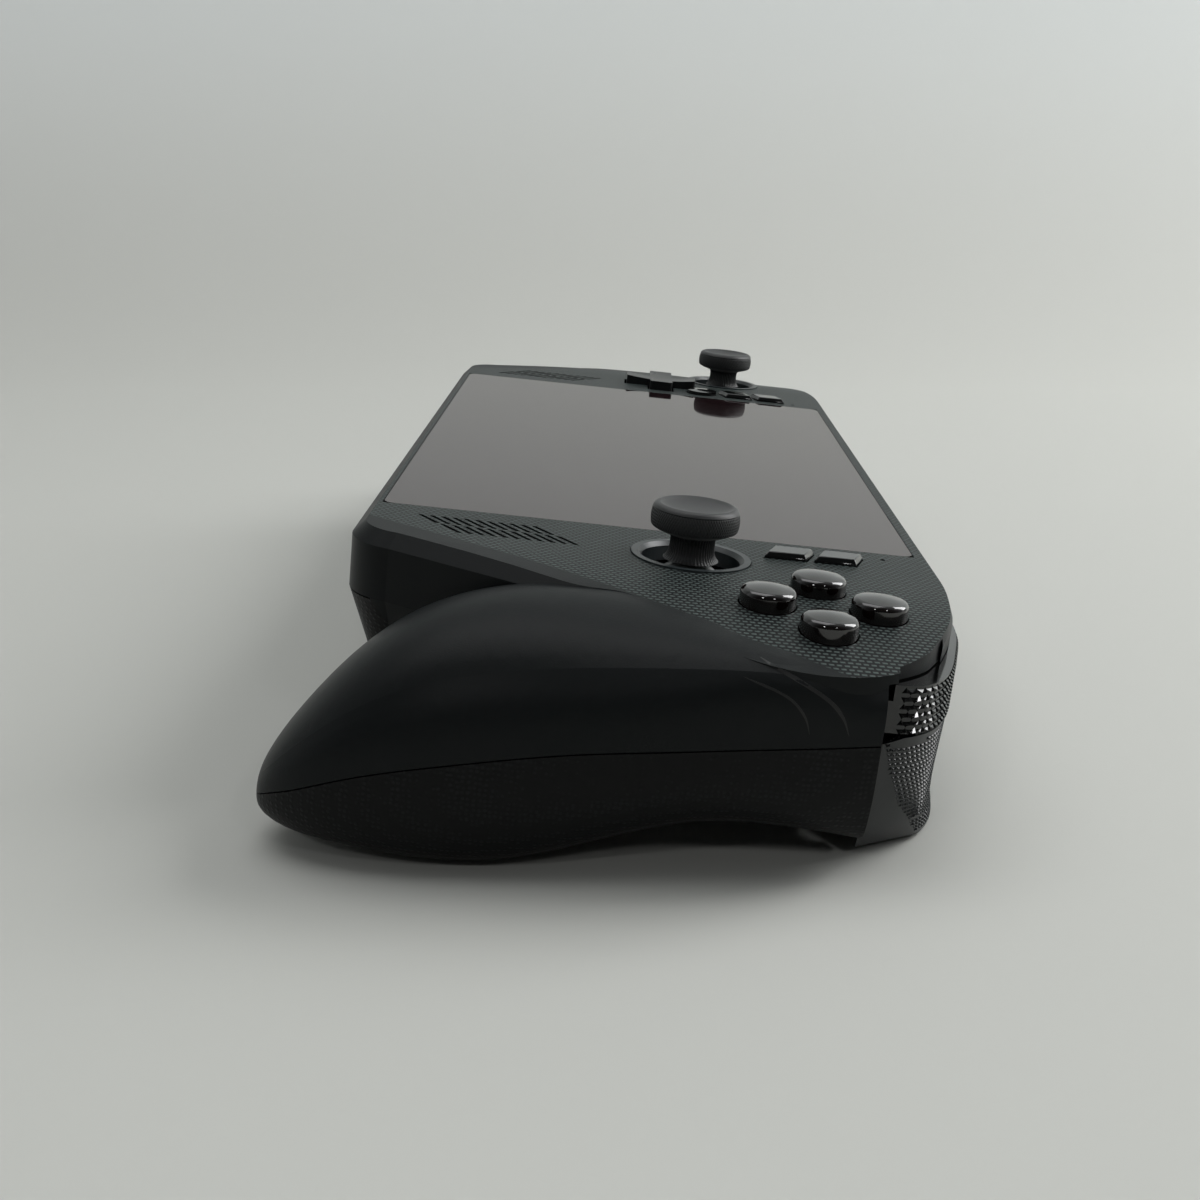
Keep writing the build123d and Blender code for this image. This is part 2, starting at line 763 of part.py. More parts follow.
front = casing - (below_seam(0) & half_space) - bumper_notch()
for x, y in screw_places:
    boss = post(x, y, boss_radius, seam_level(x) + boss_gap, overrun)
    front += boss & middle_form
for x, y in screw_places:
    front -= post(x, y, screw_radius, deep, -wall - bevel_depth)
right_cuts, left_cuts = face_cuts()
halves = []
for side, shape, cuts in (("right", front, right_cuts), ("left", flipped(front), left_cuts)):
    shape -= cuts
    for x, y in board_post_places[side]:
        shape += post(x, y, post_radius, board_top, face_height(x, wall / 2))
    halves.append(shape)
keep("front_shell", joined(halves))

back = casing & (below_seam(seam_gap) & half_space)
screws = []
for x, y in screw_places:
    boss = post(x, y, boss_radius + screw_sink, deep, seam_level(x) - boss_gap)
    back += boss & middle_form
for x, y in screw_places:
    start = back_face(x) + screw_sink
    back -= post(x, y, screw_head + button_gap, deep, start)
    back -= post(x, y, screw_radius + seat_gap, deep, seam_level(x) + boss_gap)
    screw = (post(x, y, screw_head, start - screw_head_thick, start)
             + post(x, y, screw_radius, start, start + screw_length))
    screws += both(screw)
keep("casing_screws", screws)
motor_column = block(
    (motor_place[0] - motor_size[0] / 4, motor_place[0] + motor_size[0] / 4),
    (motor_place[1] - motor_size[1] / 4, motor_place[1] + motor_size[1] / 4),
    (deep, motor_top - motor_size[2]))
back += motor_column & middle_form
back -= vent_cuts()
back -= back_button_shape(button_gap, deep, seam_level(half_length))
right_edge, left_edge = edge_cuts()
back -= trigger_pin()
halves = []
for side, shape, cuts in (("right", back, right_edge), ("left", flipped(back), left_edge)):
    stick_x, stick_y = stick_places[side]
    form = middle_form if side == "right" else flipped(middle_form)
    for step in (-1, 1):
        column = post(stick_x + step * module_size / 4, stick_y, standoff_radius, deep,
                      module_bottom)
        shape += column & form
    halves.append(shape - cuts)
keep("back_shell", joined(halves))

grip_button = (back_button_shape(0, deep, 0)
               & solid_grip.moved(Location((0, 0, -back_button_proud)))
               - solid_grip.moved(Location((0, 0, back_button_thick - back_button_proud))))
keep("right_back_button", grip_button)
keep("left_back_button", flipped(grip_button))

for name, shape in (("bumper", bumper()), ("trigger", trigger())):
    keep("right_" + name, shape)
    keep("left_" + name, flipped(shape))
keep("bumper_pins", both(bumper_pin()))
keep("trigger_pins", both(trigger_pin()))


# Screen and inner frame

def screen():
    """The glass on its ledge, the display behind it and the frame that carries both."""
    glass = block((-glass_length / 2, glass_length / 2), (-glass_width / 2, glass_width / 2),
                  (-glass_thick, 0))
    keep("display_glass", fillet(glass.edges().filter_by(Axis.Z), glass_corner))
    keep("display_panel", block((-panel_length / 2, panel_length / 2),
                                (-panel_width / 2, panel_width / 2),
                                (-glass_thick - panel_thick, -glass_thick)))


def middle_frame():
    """The plate behind the display, with its flanges and the standoffs of the main board."""
    low = frame_top - frame_thick
    plate = block((-frame_half_length, frame_half_length), (-frame_half_width, frame_half_width),
                  (low, frame_top))
    for sign in (-1, 1):
        side = sorted((sign * frame_half_length, sign * (frame_half_length - frame_flange)))
        plate += block(side, (-frame_half_width, frame_half_width), (low, -wall - seat_gap))
    for x, y in standoff_places():
        plate += post(x, y, standoff_radius, main_board_top, low)
    for x in (-frame_half_length / 2, frame_half_length / 2):
        plate -= block((x - frame_half_length / 4, x + frame_half_length / 4),
                       (0, frame_half_width / 2), (low, frame_top))
    keep("middle_frame", plate)


def standoff_places():
    """Corners of the main board, where it is screwed to the frame."""
    x = board_half_length - standoff_radius
    low = main_board_low_y + standoff_radius
    high = main_board_high_y - standoff_radius
    return [(-x, low), (x, low), (-x, high), (x, high)]


# Main board, power and cooling

board_under = main_board_top - board_thick


def main_board():
    """The main board with its processor and memory, the drive, and the battery below it."""
    board = block((-board_half_length, board_half_length),
                  (main_board_low_y, main_board_high_y), (board_under, main_board_top))
    chip = block((-chip_size[0] / 2, chip_size[0] / 2),
                 (chip_y - chip_size[1] / 2, chip_y + chip_size[1] / 2),
                 (board_under - chip_size[2], board_under))
    keep("mainboard", board + chip)
    keep("solid_state_drive", block((-drive_size[0] / 2, drive_size[0] / 2),
                                    (drive_y - drive_size[1] / 2 + board_thick,
                                     drive_y + drive_size[1] / 2 - board_thick),
                                    (board_under - drive_size[2], board_under)))
    top = frame_top - frame_thick
    cells = []
    for sign in (-1, 1):
        side = sorted((sign * swing_gap, sign * battery_half_length))
        cells.append(block(side, (battery_low_y, battery_high_y), (top - battery_thick, top)))
    tape = block((-battery_half_length, battery_half_length),
                 (battery_high_y, battery_high_y + board_thick), (top - battery_thick / 2, top))
    keep("battery", cells[0] + cells[1] + tape)


def cooling():
    """The cold plate on the processor, its heat pipe and the fins in front of the exhausts."""
    top = board_under - chip_size[2]
    low = top - plate_size[2]
    plate_y = (chip_y - plate_size[1] / 2, chip_y + plate_size[1] / 2)
    keep("cold_plate", block((-plate_size[0] / 2, plate_size[0] / 2), plate_y, (low, top)))
    reach = fan_x + fan_length / 2 - fan_wall
    bar = block((-reach, reach), (fin_low_y, fin_high_y), (low - pipe_thick, low))
    stub = block((-plate_size[0] / 2 + fan_wall, plate_size[0] / 2 - fan_wall),
                 (plate_y[0], fin_low_y), (low - pipe_thick, low))
    keep("heat_pipe", bar + stub)
    fins = []
    first = fan_x - fan_length / 2 + 2 * fan_wall
    pitch = (fan_length - 4 * fan_wall) / fin_count
    stack = block((first, first + pitch * fin_count), (fin_low_y, fin_high_y),
                  (fan_bottom, fan_bottom + fin_thick))
    for number in range(fin_count + 1):
        x = first + pitch * number
        stack += block((x - fin_thick / 2, x + fin_thick / 2), (fin_low_y, fin_high_y),
                       (fan_bottom, low - pipe_thick))
    keep("fin_stacks", both(stack))


def fan():
    """The right fan: a flat housing open towards the fins, and a rotor with curved blades."""
    half_x, half_y = fan_length / 2, fan_width / 2
    shell = block((fan_x - half_x, fan_x + half_x), (fan_y - half_y, fan_y + half_y),
                  (fan_bottom, fan_top))
    shell -= block((fan_x - half_x + fan_wall, fan_x + half_x - fan_wall),
                   (fan_y - half_y + fan_wall, fan_y + half_y + fan_wall),
                   (fan_bottom + fan_wall, fan_top - fan_wall))
    shell -= post(fan_x, fan_y, fan_inlet, fan_bottom - fan_wall, fan_bottom + fan_wall)
    shell += post(fan_x, fan_y, axle_radius, fan_bottom + 2 * fan_wall, fan_top - fan_wall)
    for step_x in (-1, 1):
        for step_y in (-1, 1):
            shell += post(fan_x + step_x * (half_x - standoff_radius),
                          fan_y + step_y * (half_y - standoff_radius),
                          standoff_radius, fan_top, board_under)
    low, high = fan_bottom + 2 * fan_wall, fan_top - 2 * fan_wall
    rotor = post(0, 0, rotor_hub, low, high)
    for number in range(rotor_blades):
        start, end = rotor_hub - blade_thick, rotor_radius
        middle = ((start + end) / 2, (end - start) / 5)
        line = [(start, 0), middle, (end, 0)]
        back_line = [(x, y + blade_thick) for x, y in line]
        edges = [ThreePointArc(*[(x, y, low) for x, y in line]),
                 Line((*line[2], low), (*back_line[2], low)),
                 ThreePointArc(*[(x, y, low) for x, y in back_line[::-1]]),
                 Line((*back_line[0], low), (*line[0], low))]
        blade = extrude(Face(Wire(edges)), amount=high - low, dir=(0, 0, 1))
        rotor += Rot(0, 0, 360 / rotor_blades * number) * blade
    rotor -= post(0, 0, axle_radius + running_gap, low - overrun, high + overrun)
    rotor = Pos(fan_x, fan_y, 0) * rotor
    keep("right_fan_housing", shell)
    keep("left_fan_housing", flipped(shell))
    keep("right_fan_rotor", rotor)
    keep("left_fan_rotor", flipped(rotor))


# Thumb sticks

def stick(side):
    """One thumb stick: ring in the face, housing, two crossed axes, shaft and cap."""
    x, y = stick_places[side]
    under = face_height(abs(x) + ring_radius + ring_flange, wall) - seat_gap
    low = under - ring_foot
    ring = post(0, 0, ring_radius, low, ring_proud)
    ring += post(0, 0, ring_radius + ring_flange, low, under)
    ring -= post(0, 0, ring_bore, low, ring_proud)
    inner_edge = ring.edges().filter_by(GeomType.CIRCLE).group_by(Axis.Z)[-1].sort_by(SortBy.RADIUS)[0]
    ring = chamfer(inner_edge, ring_proud * 3)

    half = module_size / 2
    floor = module_top - yoke_thick
    housing = block((-half, half), (-half, half), (module_bottom, module_top))
    housing -= block((-half + ear_thick, half - ear_thick), (-half + ear_thick, half - ear_thick),
                     (floor, module_top))
    housing += block((half, half + sensor_thick), (-half / 2, half / 2), (module_bottom, module_top))
    housing += block((-half / 2, half / 2), (-half - sensor_thick, -half), (module_bottom, module_top))
    ear_start = yoke_radius + swing_gap
    for sign in (-1, 1):
        ear_x = sorted((sign * ear_start, sign * (ear_start + ear_thick)))
        housing += block(ear_x, (-ear_width / 2, ear_width / 2),
                         (floor, stick_pivot + 2 * trunnion_radius))
        housing -= rod_x(ear_x, 0, stick_pivot, trunnion_radius + running_gap)

    yoke = post(0, 0, yoke_radius, stick_pivot - yoke_thick / 2, stick_pivot + yoke_thick / 2)
    yoke -= post(0, 0, yoke_radius - yoke_band, module_bottom, overrun)
    for sign in (-1, 1):
        yoke += rod_x(sorted((sign * (yoke_radius - yoke_band / 2),
                              sign * (ear_start + ear_thick))), 0, stick_pivot, trunnion_radius)
    yoke -= rod_y(0, (-yoke_radius, yoke_radius), stick_pivot, trunnion_radius + running_gap)

    dome = Pos(0, 0, stick_pivot) * (Sphere(dome_radius) - Sphere(dome_radius - dome_wall))
    dome &= block((-dome_radius, dome_radius), (-dome_radius, dome_radius),
                  (stick_pivot + dome_skirt, dome_top))
    hub = dome + post(0, 0, hub_radius, stick_pivot - hub_reach, dome_top)
    hub += rod_y(0, (-yoke_radius + trunnion_radius, yoke_radius - trunnion_radius),
                 stick_pivot, trunnion_radius)
    hub -= post(0, 0, shaft_radius + running_gap, module_bottom, overrun)

    shaft = post(0, 0, shaft_radius, stick_pivot - hub_reach, cap_under)
    stem = post(0, 0, stem_radius, stem_bottom, cap_under + cap_round)
    # The underside rises as steeply as the stick leans with both axes at their limits.
    lean = math.acos(math.cos(math.radians(stick_tilt)) ** 2)
    rise = (cap_radius - cap_neck) * math.tan(lean)
    rim = post(0, 0, cap_radius, cap_under + rise, cap_top)
    rim = fillet(rim.edges().filter_by(GeomType.CIRCLE).sort_by(Axis.Z)[-1], cap_round)
    rim += Pos(0, 0, cap_under + rise / 2) * Cone(cap_neck, cap_radius, rise)
    dish_radius = (cap_radius ** 2 + cap_dish ** 2) / (2 * cap_dish)
    rim -= Pos(0, 0, cap_top - cap_dish + dish_radius) * Sphere(dish_radius)
    cap = rim + stem - post(0, 0, shaft_radius, stem_bottom, cap_under)
    pieces = {"ring": ring, "housing": housing, "yoke": yoke, "hub": hub, "shaft": shaft,
              "cap": cap}
    for name, shape in pieces.items():
        keep(f"{side}_stick_{name}", Pos(x, y, 0) * shape)


# Buttons and direction pad

def domed(radius, top, crown, low):
    """A round button with a crowned top."""
    ball = Pos(0, 0, top - crown) * Sphere(crown)
    return post(0, 0, radius, low, top) & (ball + post(0, 0, radius, low, top - crown / 4))


def action_buttons():
    """Four domed buttons that follow the slope of the face."""
    for name, (x, y) in cross_places().items():
        level = face_height(x)
        under = face_height(x + button_radius + button_flange, wall) - seat_gap
        shape = domed(button_radius, level + button_proud, button_crown, button_foot)
        rim = shape.edges().group_by(SortBy.LENGTH)[-1].sort_by(Axis.Z)[-1]
        shape = fillet(rim, button_round)
        shape += post(0, 0, button_radius + button_flange, under - flange_thick, under)
        keep(name, Pos(x, y, 0) * shape)


def past_flat(place, toward, far):
    """What a straight cut takes off a piece at one place, on the side towards another."""
    turn = math.degrees(math.atan2(toward[1] - place[1], toward[0] - place[0]))
    cut = block((far, far + half_width), (-half_width, half_width), (-body_depth, body_depth))
    return Pos(*place, 0) * Rot(0, 0, turn) * cut


def direction_pad():
    """The rocking pad on two crossed axles, and the carrier under it."""
    x, y = pad_place
    cross = pad_cross(0, pad_dish_top - pad_dish_thick, pad_proud)
    ends = cross.edges().filter_by(Axis.Z)
    cross = fillet(ends, pad_round)
    ball = pad_reach ** 2 / (2 * pad_dish_depth)
    cross -= Pos(x, y, pad_proud - pad_dish_depth + ball) * Sphere(ball)
    dish_low = pad_dish_top - pad_dish_thick
    dish = post(x, y, pad_dish_radius, dish_low, pad_dish_top)
    far = math.dist(pad_place, guide_place) - guide_radius - button_flange - swing_gap
    dish -= past_flat(pad_place, guide_place, far)
    shape = cross + dish
    ear_low = pad_pivot_z - pad_ear_width / 2
    base_top = board_top + seat_gap
    base = block((x - pad_reach / 2, x + pad_reach / 2), (y - pad_reach / 2, y + pad_reach / 2),
                 (board_top, base_top))
    for sign in (-1, 1):
        ear_y = sorted((y + sign * pad_ear_near, y + sign * pad_ear_far))
        ear = block((x - pad_ear_width / 2, x + pad_ear_width / 2), ear_y, (ear_low, dish_low))
        shape += ear - rod_y(x, ear_y, pad_pivot_z, pad_axle_radius + running_gap)
        ear_x = sorted((x + sign * pad_ear_near, x + sign * pad_ear_far))
        ear = block(ear_x, (y - pad_ear_width / 2, y + pad_ear_width / 2),
                    (board_top, pad_pivot_z + pad_ear_width / 2))
        base += ear - rod_x(ear_x, y, pad_pivot_z, pad_axle_radius + running_gap)
    half = pivot_block / 2
    pivot = block((x - half, x + half), (y - half, y + half),
                  (pad_pivot_z - pad_axle_radius, pad_pivot_z + pad_axle_radius))
    pivot += rod_x((x - pad_ear_far, x + pad_ear_far), y, pad_pivot_z, pad_axle_radius)
    pivot += rod_y(x, (y - pad_ear_far, y + pad_ear_far), pad_pivot_z, pad_axle_radius)
    keep("direction_pad", shape)
    keep("direction_pad_pivot", pivot)
    keep("direction_pad_base", base)


def small_buttons():
    """The round button and the four slanted ones beside the screen."""
    under = -wall - seat_gap
    for name, place in menu_places.items():
        shape = upright(menu_outline(place, 0), under, menu_proud)
        shape = chamfer(shape.edges().group_by(Axis.Z)[-1], seat_gap * 3)
        flange = upright(menu_outline(place, menu_flange), under - flange_thick, under)
        stalk = post(*place, post_radius, board_top + rubber_thick, under)
        keep(name, shape + flange + stalk)
    round_one = Pos(*guide_place, 0) * domed(guide_radius, menu_proud, guide_crown, under)
    flange = post(*guide_place, guide_radius + button_flange, under - flange_thick, under)
    round_one += flange - past_flat(guide_place, pad_place, guide_radius - swing_gap)
    round_one += post(*guide_place, post_radius, board_top + rubber_thick, under)
    keep("guide_button", round_one)


def control_boards():
    """The boards under the buttons of each side, and the rubber mat of the four."""
    low = board_top - board_thick
    x, y = cross_centre
    corners = [(x + step_x * cross_reach, y + step_y * cross_reach)
               for step_x, step_y in board_corner_shares]
    strip = frame_half_length + seat_gap
    right = upright(corners, low, board_top)
    right += block((strip, x), (y - cross_reach + button_flange, corners[-1][1]), (low, board_top))
    keep("right_control_board", right)
    mat = upright(corners, board_top, board_top + rubber_thick)
    keep("action_button_mat", mat - post(x, y, post_radius + seat_gap, board_top, overrun))
    x, y = pad_place
    left = block((x - pad_dish_radius, -strip), (y - pad_dish_radius, y + pad_reach),
                 (low, board_top))
    left += block((-strip - menu_length, -strip),
                  (y, menu_places["view_button"][1] + menu_length / 2), (low, board_top))
    keep("left_control_board", left)


# Speakers, motors and what opens at the top edge

def speakers():
    """A speaker box under each set of slots, close behind the face."""
    x = (speaker_places[0][0] + speaker_places[1][0]) / 2
    y = (speaker_places[0][1] + speaker_places[1][1]) / 2
    size = speaker_size
    top = -wall - swing_gap
    box = block((x - size[0] / 2, x + size[0] / 2), (y - size[1] / 2, y + size[1] / 2),
                (top - size[2], top))
    box = fillet(box.edges().filter_by(Axis.Z), size[0] / 6)
    keep("speakers", both(box))


def motors():
    """A vibration motor in each grip, on its column."""
    x, y = motor_place
    size = motor_size
    box = block((x - size[0] / 2, x + size[0] / 2), (y - size[1] / 2, y + size[1] / 2),
                (motor_top - size[2], motor_top))
    box = fillet(box.edges().filter_by(Axis.Z), size[1] / 6)
    keep("vibration_motors", both(box))


def edge_parts():
    """Sockets under the main board, and the power and volume buttons beside them."""
    wall_y = edge_height(port_z)
    front_y = wall_y - wall / 2
    ports = []
    for x in usb_places:
        size = (usb_size[0] + 2 * usb_wall, usb_size[1] + 2 * usb_wall)
        tube = edge_pill(x, port_z, size, 0, front_y - usb_size[2], front_y)
        tube -= edge_pill(x, port_z, usb_size, 0, front_y - usb_size[2] + usb_wall, front_y)
        tube += edge_box(x, port_z, usb_size[0] * 0.75, usb_wall * 2, front_y - usb_size[2],
                         front_y - usb_wall)
        ports.append(tube)
    keep("usb_sockets", ports)
    card = edge_box(card_x, port_z, card_body[0], card_body[1], wall_y - wall - card_body[2],
                    wall_y - wall - seat_gap - back_inset / 6)
    card -= edge_box(card_x, port_z, card_size[0], card_size[1],
                     wall_y - card_size[2], wall_y)
    keep("card_socket", card)
    jack = edge_box(jack_x, port_z, jack_size[0], jack_size[1],
                    wall_y - wall - jack_size[2], wall_y - wall - back_inset / 6)
    jack += rod_y(jack_x, (wall_y - wall - back_inset / 3, wall_y - wall / 2), port_z,
                  jack_radius + button_gap - seat_gap)
    jack -= rod_y(jack_x, (wall_y - jack_size[2], wall_y), port_z, jack_radius)
    keep("headphone_socket", jack)
    for name, x, size in (("power_button", power_x, power_size),
                          ("volume_rocker", volume_x, volume_size)):
        back_y = wall_y - wall - back_inset / 6 - swing_gap
        cap = edge_pill(x, port_z, size, 0, back_y, wall_y + edge_button_proud)
        flange = edge_pill(x, port_z, size, button_flange, back_y - flange_thick, back_y)
        shape = cap + flange
        if name == "volume_rocker":
            shape += post(x, back_y, rocker_nose_radius, port_z - size[1] / 2,
                          port_z + size[1] / 2)
        keep(name, shape)


screen()
middle_frame()
main_board()
cooling()
fan()
stick("right")
stick("left")
action_buttons()
direction_pad()
small_buttons()
control_boards()
speakers()
motors()
edge_parts()


# Lay the console down as it rests, with its middle over the origin

def solids_of(shape):
    """The separate solids of a piece."""
    pieces = shape if isinstance(shape, (list, tuple)) else [shape]
    return [solid for piece in pieces for solid in piece.solids()]


tip = Rot(-rest_tilt, 0, 0)
laid = {}
for name, shape in nodes.items():
    laid[name] = Compound(children=[tip * solid for solid in solids_of(shape)], label=name)
boxes = [shape.bounding_box() for shape in laid.values()]
low_x, high_x = min(box.min.X for box in boxes), max(box.max.X for box in boxes)
low_y, high_y = min(box.min.Y for box in boxes), max(box.max.Y for box in boxes)
lift = Pos(-(low_x + high_x) / 2, -(low_y + high_y) / 2, -min(box.min.Z for box in boxes))
for name, shape in laid.items():
    export_step(lift * shape, os.path.join("parts", name + ".step"))
print("pieces", len(laid), "shift", lift.position)
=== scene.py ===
"""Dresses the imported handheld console: mouldings, finishes, screen, table and light."""

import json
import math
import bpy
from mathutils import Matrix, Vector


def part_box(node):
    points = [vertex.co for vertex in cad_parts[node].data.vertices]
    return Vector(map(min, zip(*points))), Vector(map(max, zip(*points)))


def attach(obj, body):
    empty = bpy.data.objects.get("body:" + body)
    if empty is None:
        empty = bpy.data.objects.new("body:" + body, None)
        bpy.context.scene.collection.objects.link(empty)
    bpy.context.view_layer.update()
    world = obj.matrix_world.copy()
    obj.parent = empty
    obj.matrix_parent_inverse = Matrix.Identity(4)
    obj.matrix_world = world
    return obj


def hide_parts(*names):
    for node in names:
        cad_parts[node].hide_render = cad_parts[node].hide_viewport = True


bl_info = {
    "name": "Handheld console dressing",
    "version": (1, 0, 0),
    "blender": (4, 5, 0),
    "location": "3D View > Sidebar > Console",
    "description": "Finishes and fine parts for a handheld games console, its table and its light",
    "category": "Object",
}

import bpy
from bpy.props import FloatProperty, FloatVectorProperty, IntProperty, PointerProperty
from mathutils import Matrix, Vector
from mathutils.bvhtree import BVHTree

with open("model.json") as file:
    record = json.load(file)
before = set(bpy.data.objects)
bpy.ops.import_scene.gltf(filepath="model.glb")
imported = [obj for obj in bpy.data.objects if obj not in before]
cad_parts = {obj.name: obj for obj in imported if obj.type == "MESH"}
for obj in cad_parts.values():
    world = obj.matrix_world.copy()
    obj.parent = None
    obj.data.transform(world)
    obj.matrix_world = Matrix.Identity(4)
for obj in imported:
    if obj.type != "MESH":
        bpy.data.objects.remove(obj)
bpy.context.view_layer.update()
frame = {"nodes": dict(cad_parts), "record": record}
SLOTS = {part["node"]: part["material_slot"] for part in frame["record"]["subparts"]}

MM = 0.001
TILT = math.radians(6)
GLASS_THICK = 0.9 * MM
SIDES = (("right", 1), ("left", -1))

# The console's own millimetres: x along its length, y towards the bumpers, z out of the screen.
STICK_PLACES = {"right": (98.2, 7.3), "left": (-114.5, 24.2)}
MENU_PLACES = {"library_button": (91.0, 25.4), "menu_button": (90.8, 34.4),
               "view_button": (-89.5, 35.8), "command_button": (-89.5, 26.6)}
MENU_SIZE = (5.8, 7.6)
MENU_SLANT = 2.0
# Radius and height of a stick cap from the foot of its stem to the middle of its hollow top.
CAP_PROFILE = [
    (4.9, -0.45), (4.35, 0.1), (4.0, 0.9), (3.9, 2.0), (3.9, 3.2), (4.05, 3.75), (4.5, 4.02),
    (5.3, 4.36), (5.9, 4.55), (6.5, 4.7), (7.05, 4.95), (7.4, 5.15)]
CAP_BAND = (5.15, 8.4, 26)
CAP_CROWN = [
    (7.62, 8.6), (7.42, 8.95), (7.12, 9.22), (6.8, 9.36), (6.55, 9.4), (6.35, 9.34), (6.1, 9.18),
    (5.4, 8.92), (4.4, 8.66), (3.2, 8.46), (2.0, 8.35), (0.9, 8.31)]
# The bumper's outer face seen from above, from its hinge round the corner to its tip.
SHOULDER_PATH = [(94.5, 53.2), (100.0, 53.4), (110.1, 52.9), (120.0, 50.9), (130.0, 48.4),
                 (137.0, 45.3), (140.5, 41.4), (141.1, 38.6)]
# Height of a trigger's level, then the corner where its knurled face meets its smooth side.
TRIGGER_CORNERS = [(-14.8, 140.5, 37.3), (-20.2, 138.9, 39.1), (-27.1, 135.2, 42.0),
                   (-35.7, 126.8, 48.1)]
# The two moulded grooves on the side of a grip, as y and z, with their widths.
GROOVES = [([(14.4, -5.8), (19.2, -7.1), (22.1, -8.5), (24.2, -10.8), (25.2, -13.4)], 0.4),
           ([(16.8, -3.4), (22.4, -5.3), (27.4, -7.9), (29.9, -10.4), (31.2, -13.2)], 0.6)]
# The dark strip laid along a groove, painted shade for its recess: steps along it, how fast its
# ends narrow, its section as shares of its width and millimetres out of the shell, and a place
# past the grip to look for the shell from.
GROOVE_STEPS = 40
GROOVE_TAPER = 4
GROOVE_SECTION = ((-0.5, -0.1), (-0.5, 0.03), (0.5, 0.03), (0.5, -0.1))
BESIDE_CONSOLE = 170

# The crease that ends the dashes at a shoulder: a circle, and a straight stretch beside it.
CREASE_MIDDLE = (118.0, 26.0, 0.0)
CREASE_RADIUS = 20.5
CREASE_SOFT = 0.5
CREASE_LINE_FACES = (-0.845, 0.535, 0.0)
CREASE_LINE_AT = -105.3
CREASE_LINE_SOFT = 0.6
# How squarely a surface must face out of the screen to carry dashes.
FACE_FLATNESS = (0.955, 0.975)
# Half a dash's length and width as shares of its cell, how far its edge fades each way, its
# height, and the size and height of the face's grain.
DASH_HALF_LENGTH = 0.31
DASH_HALF_WIDTH = 0.22
DASH_FADE = (0.09, 0.07)
DASH_HEIGHT = 0.12
FACE_GRAIN = 0.3125
FACE_GRAIN_HEIGHT = 0.02
# A grip's dots: how irregular, where each fades from edge to top, and how high.
DOT_RANDOMNESS = 0.35
DOT_FADE = (0.5, 0.15)
DOT_HEIGHT = 0.05
# The gloss of all finishes but the face's and the grips' drifts over patches of this size,
# between these values of the noise.
GLOSS_PATCH = 20.0
NOISE_SPAN = (0.3, 0.7)

# A stick cap: radius and swell of its band, the crossing ribs' twist in radians a millimetre,
# the radius they start at, the height and radius that the stem's ribs keep below and their share
# of the depth, mesh points for each rib, and how far the middle of the hollow top dips.
CAP_SIDE = 7.4
CAP_SWELL = 0.35
RIB_TWIST = 3.1
RIBS_FROM_RADIUS = 7
STEM_RIBS_TOP = 3.8
STEM_RIBS_RADIUS = 4.5
STEM_RIB_SHARE = 0.8
POINTS_PER_RIB = 6
CLOSING_DIP = 0.01
# Levels of a menu button: inset as a share of its bevel, and height.
MENU_LEVELS = ((0, -2.4), (0, 0.35), (1, 1.2))
MENU_EDGE = 0.15
# Knurls: where the rows start and end, how near a path's points come to a trigger's corner, how
# far the pyramids stand out, and how deep they root.
BUMPER_TOP_ROW = -6.5
BUMPER_ROW_COUNT = 6
BUMPER_PEAK = 0.5
TRIGGER_TOP_MARGIN = 1.0
TRIGGER_LOW_MARGIN = 0.8
TRIGGER_CORNER_ROOM = 1
TRIGGER_PEAK = 0.26
KNURL_ROOT = 0.15
# Steps of a smooth path between two of its points, and points asked for when only its length is
# wanted.
CURVE_STEPS = 24
MEASURE_POINTS = 8

# The stage in metres: table, bend into the wall, and the height where the wall's colour is full.
# Then how strongly the wall glows, and the room's light from beyond the console to behind the
# camera, as the span of directions it changes over and shares of the room's strength.
TABLE_END = 3.0
BEND_START = -0.35
BEND_RADIUS = 0.3
BEND_STEPS = 16
WALL_TOP = 3.0
HALF_STAGE = 4
WALL_FULL_AT = 0.25
WALL_GLOW = 0.32
ROOM_SPAN = (-0.8, 0.7)
ROOM_SHARES = (1.35, 0.06)
# Each lamp's name, place, width, and share of the key lamp's power.
LAMPS = (("window", (-0.5, 1.1, 0.85), 1.0, 1),
         ("ceiling", (-0.2, -0.3, 1.6), 1.4, 0.45),
         ("far_left_pane", (1.2, -0.5, 0.9), 0.12, 0.05),
         ("far_right_pane", (1.2, 0.6, 0.9), 0.12, 0.05))
# The camera that fits the photograph: lens, place, and its own right and up.
LENS = 47.7257
SENSOR_WIDTH = 36
NEAREST_SEEN = 0.01
EYE = (0.36912119, 0.00305482, 0.11214015)
EYE_RIGHT = (-0.02058433, 0.99978571, -0.0021956)
EYE_UP = (-0.28194725, -0.00369798, 0.95942278)


def linear(colour):
    """An sRGB hex colour as linear red, green, blue and a full alpha."""
    parts = [int(colour[i:i + 2], 16) / 255 for i in (1, 3, 5)]
    return [c / 12.92 if c <= 0.04045 else ((c + 0.055) / 1.055) ** 2.4 for c in parts] + [1]


def glass_middle():
    """Middle of the glass's front face, where the console's own millimetres start."""
    low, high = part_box("display_glass")
    return (low + high) / 2 + Vector((0, math.sin(TILT), math.cos(TILT))) * GLASS_THICK / 2


TO_TABLE = (Matrix.Translation(glass_middle()) @ Matrix.Rotation(-TILT, 4, "X")
            @ Matrix.Scale(MM, 4))
OUTWARD = {1: Vector((1, 0, 0)), -1: Vector((-1, 0, 0))}


def colour_property(name, description, colour):
    """A colour that a user may change."""
    return FloatVectorProperty(name=name, description=description, subtype="COLOR", size=4,
                               min=0, max=1, default=linear(colour))


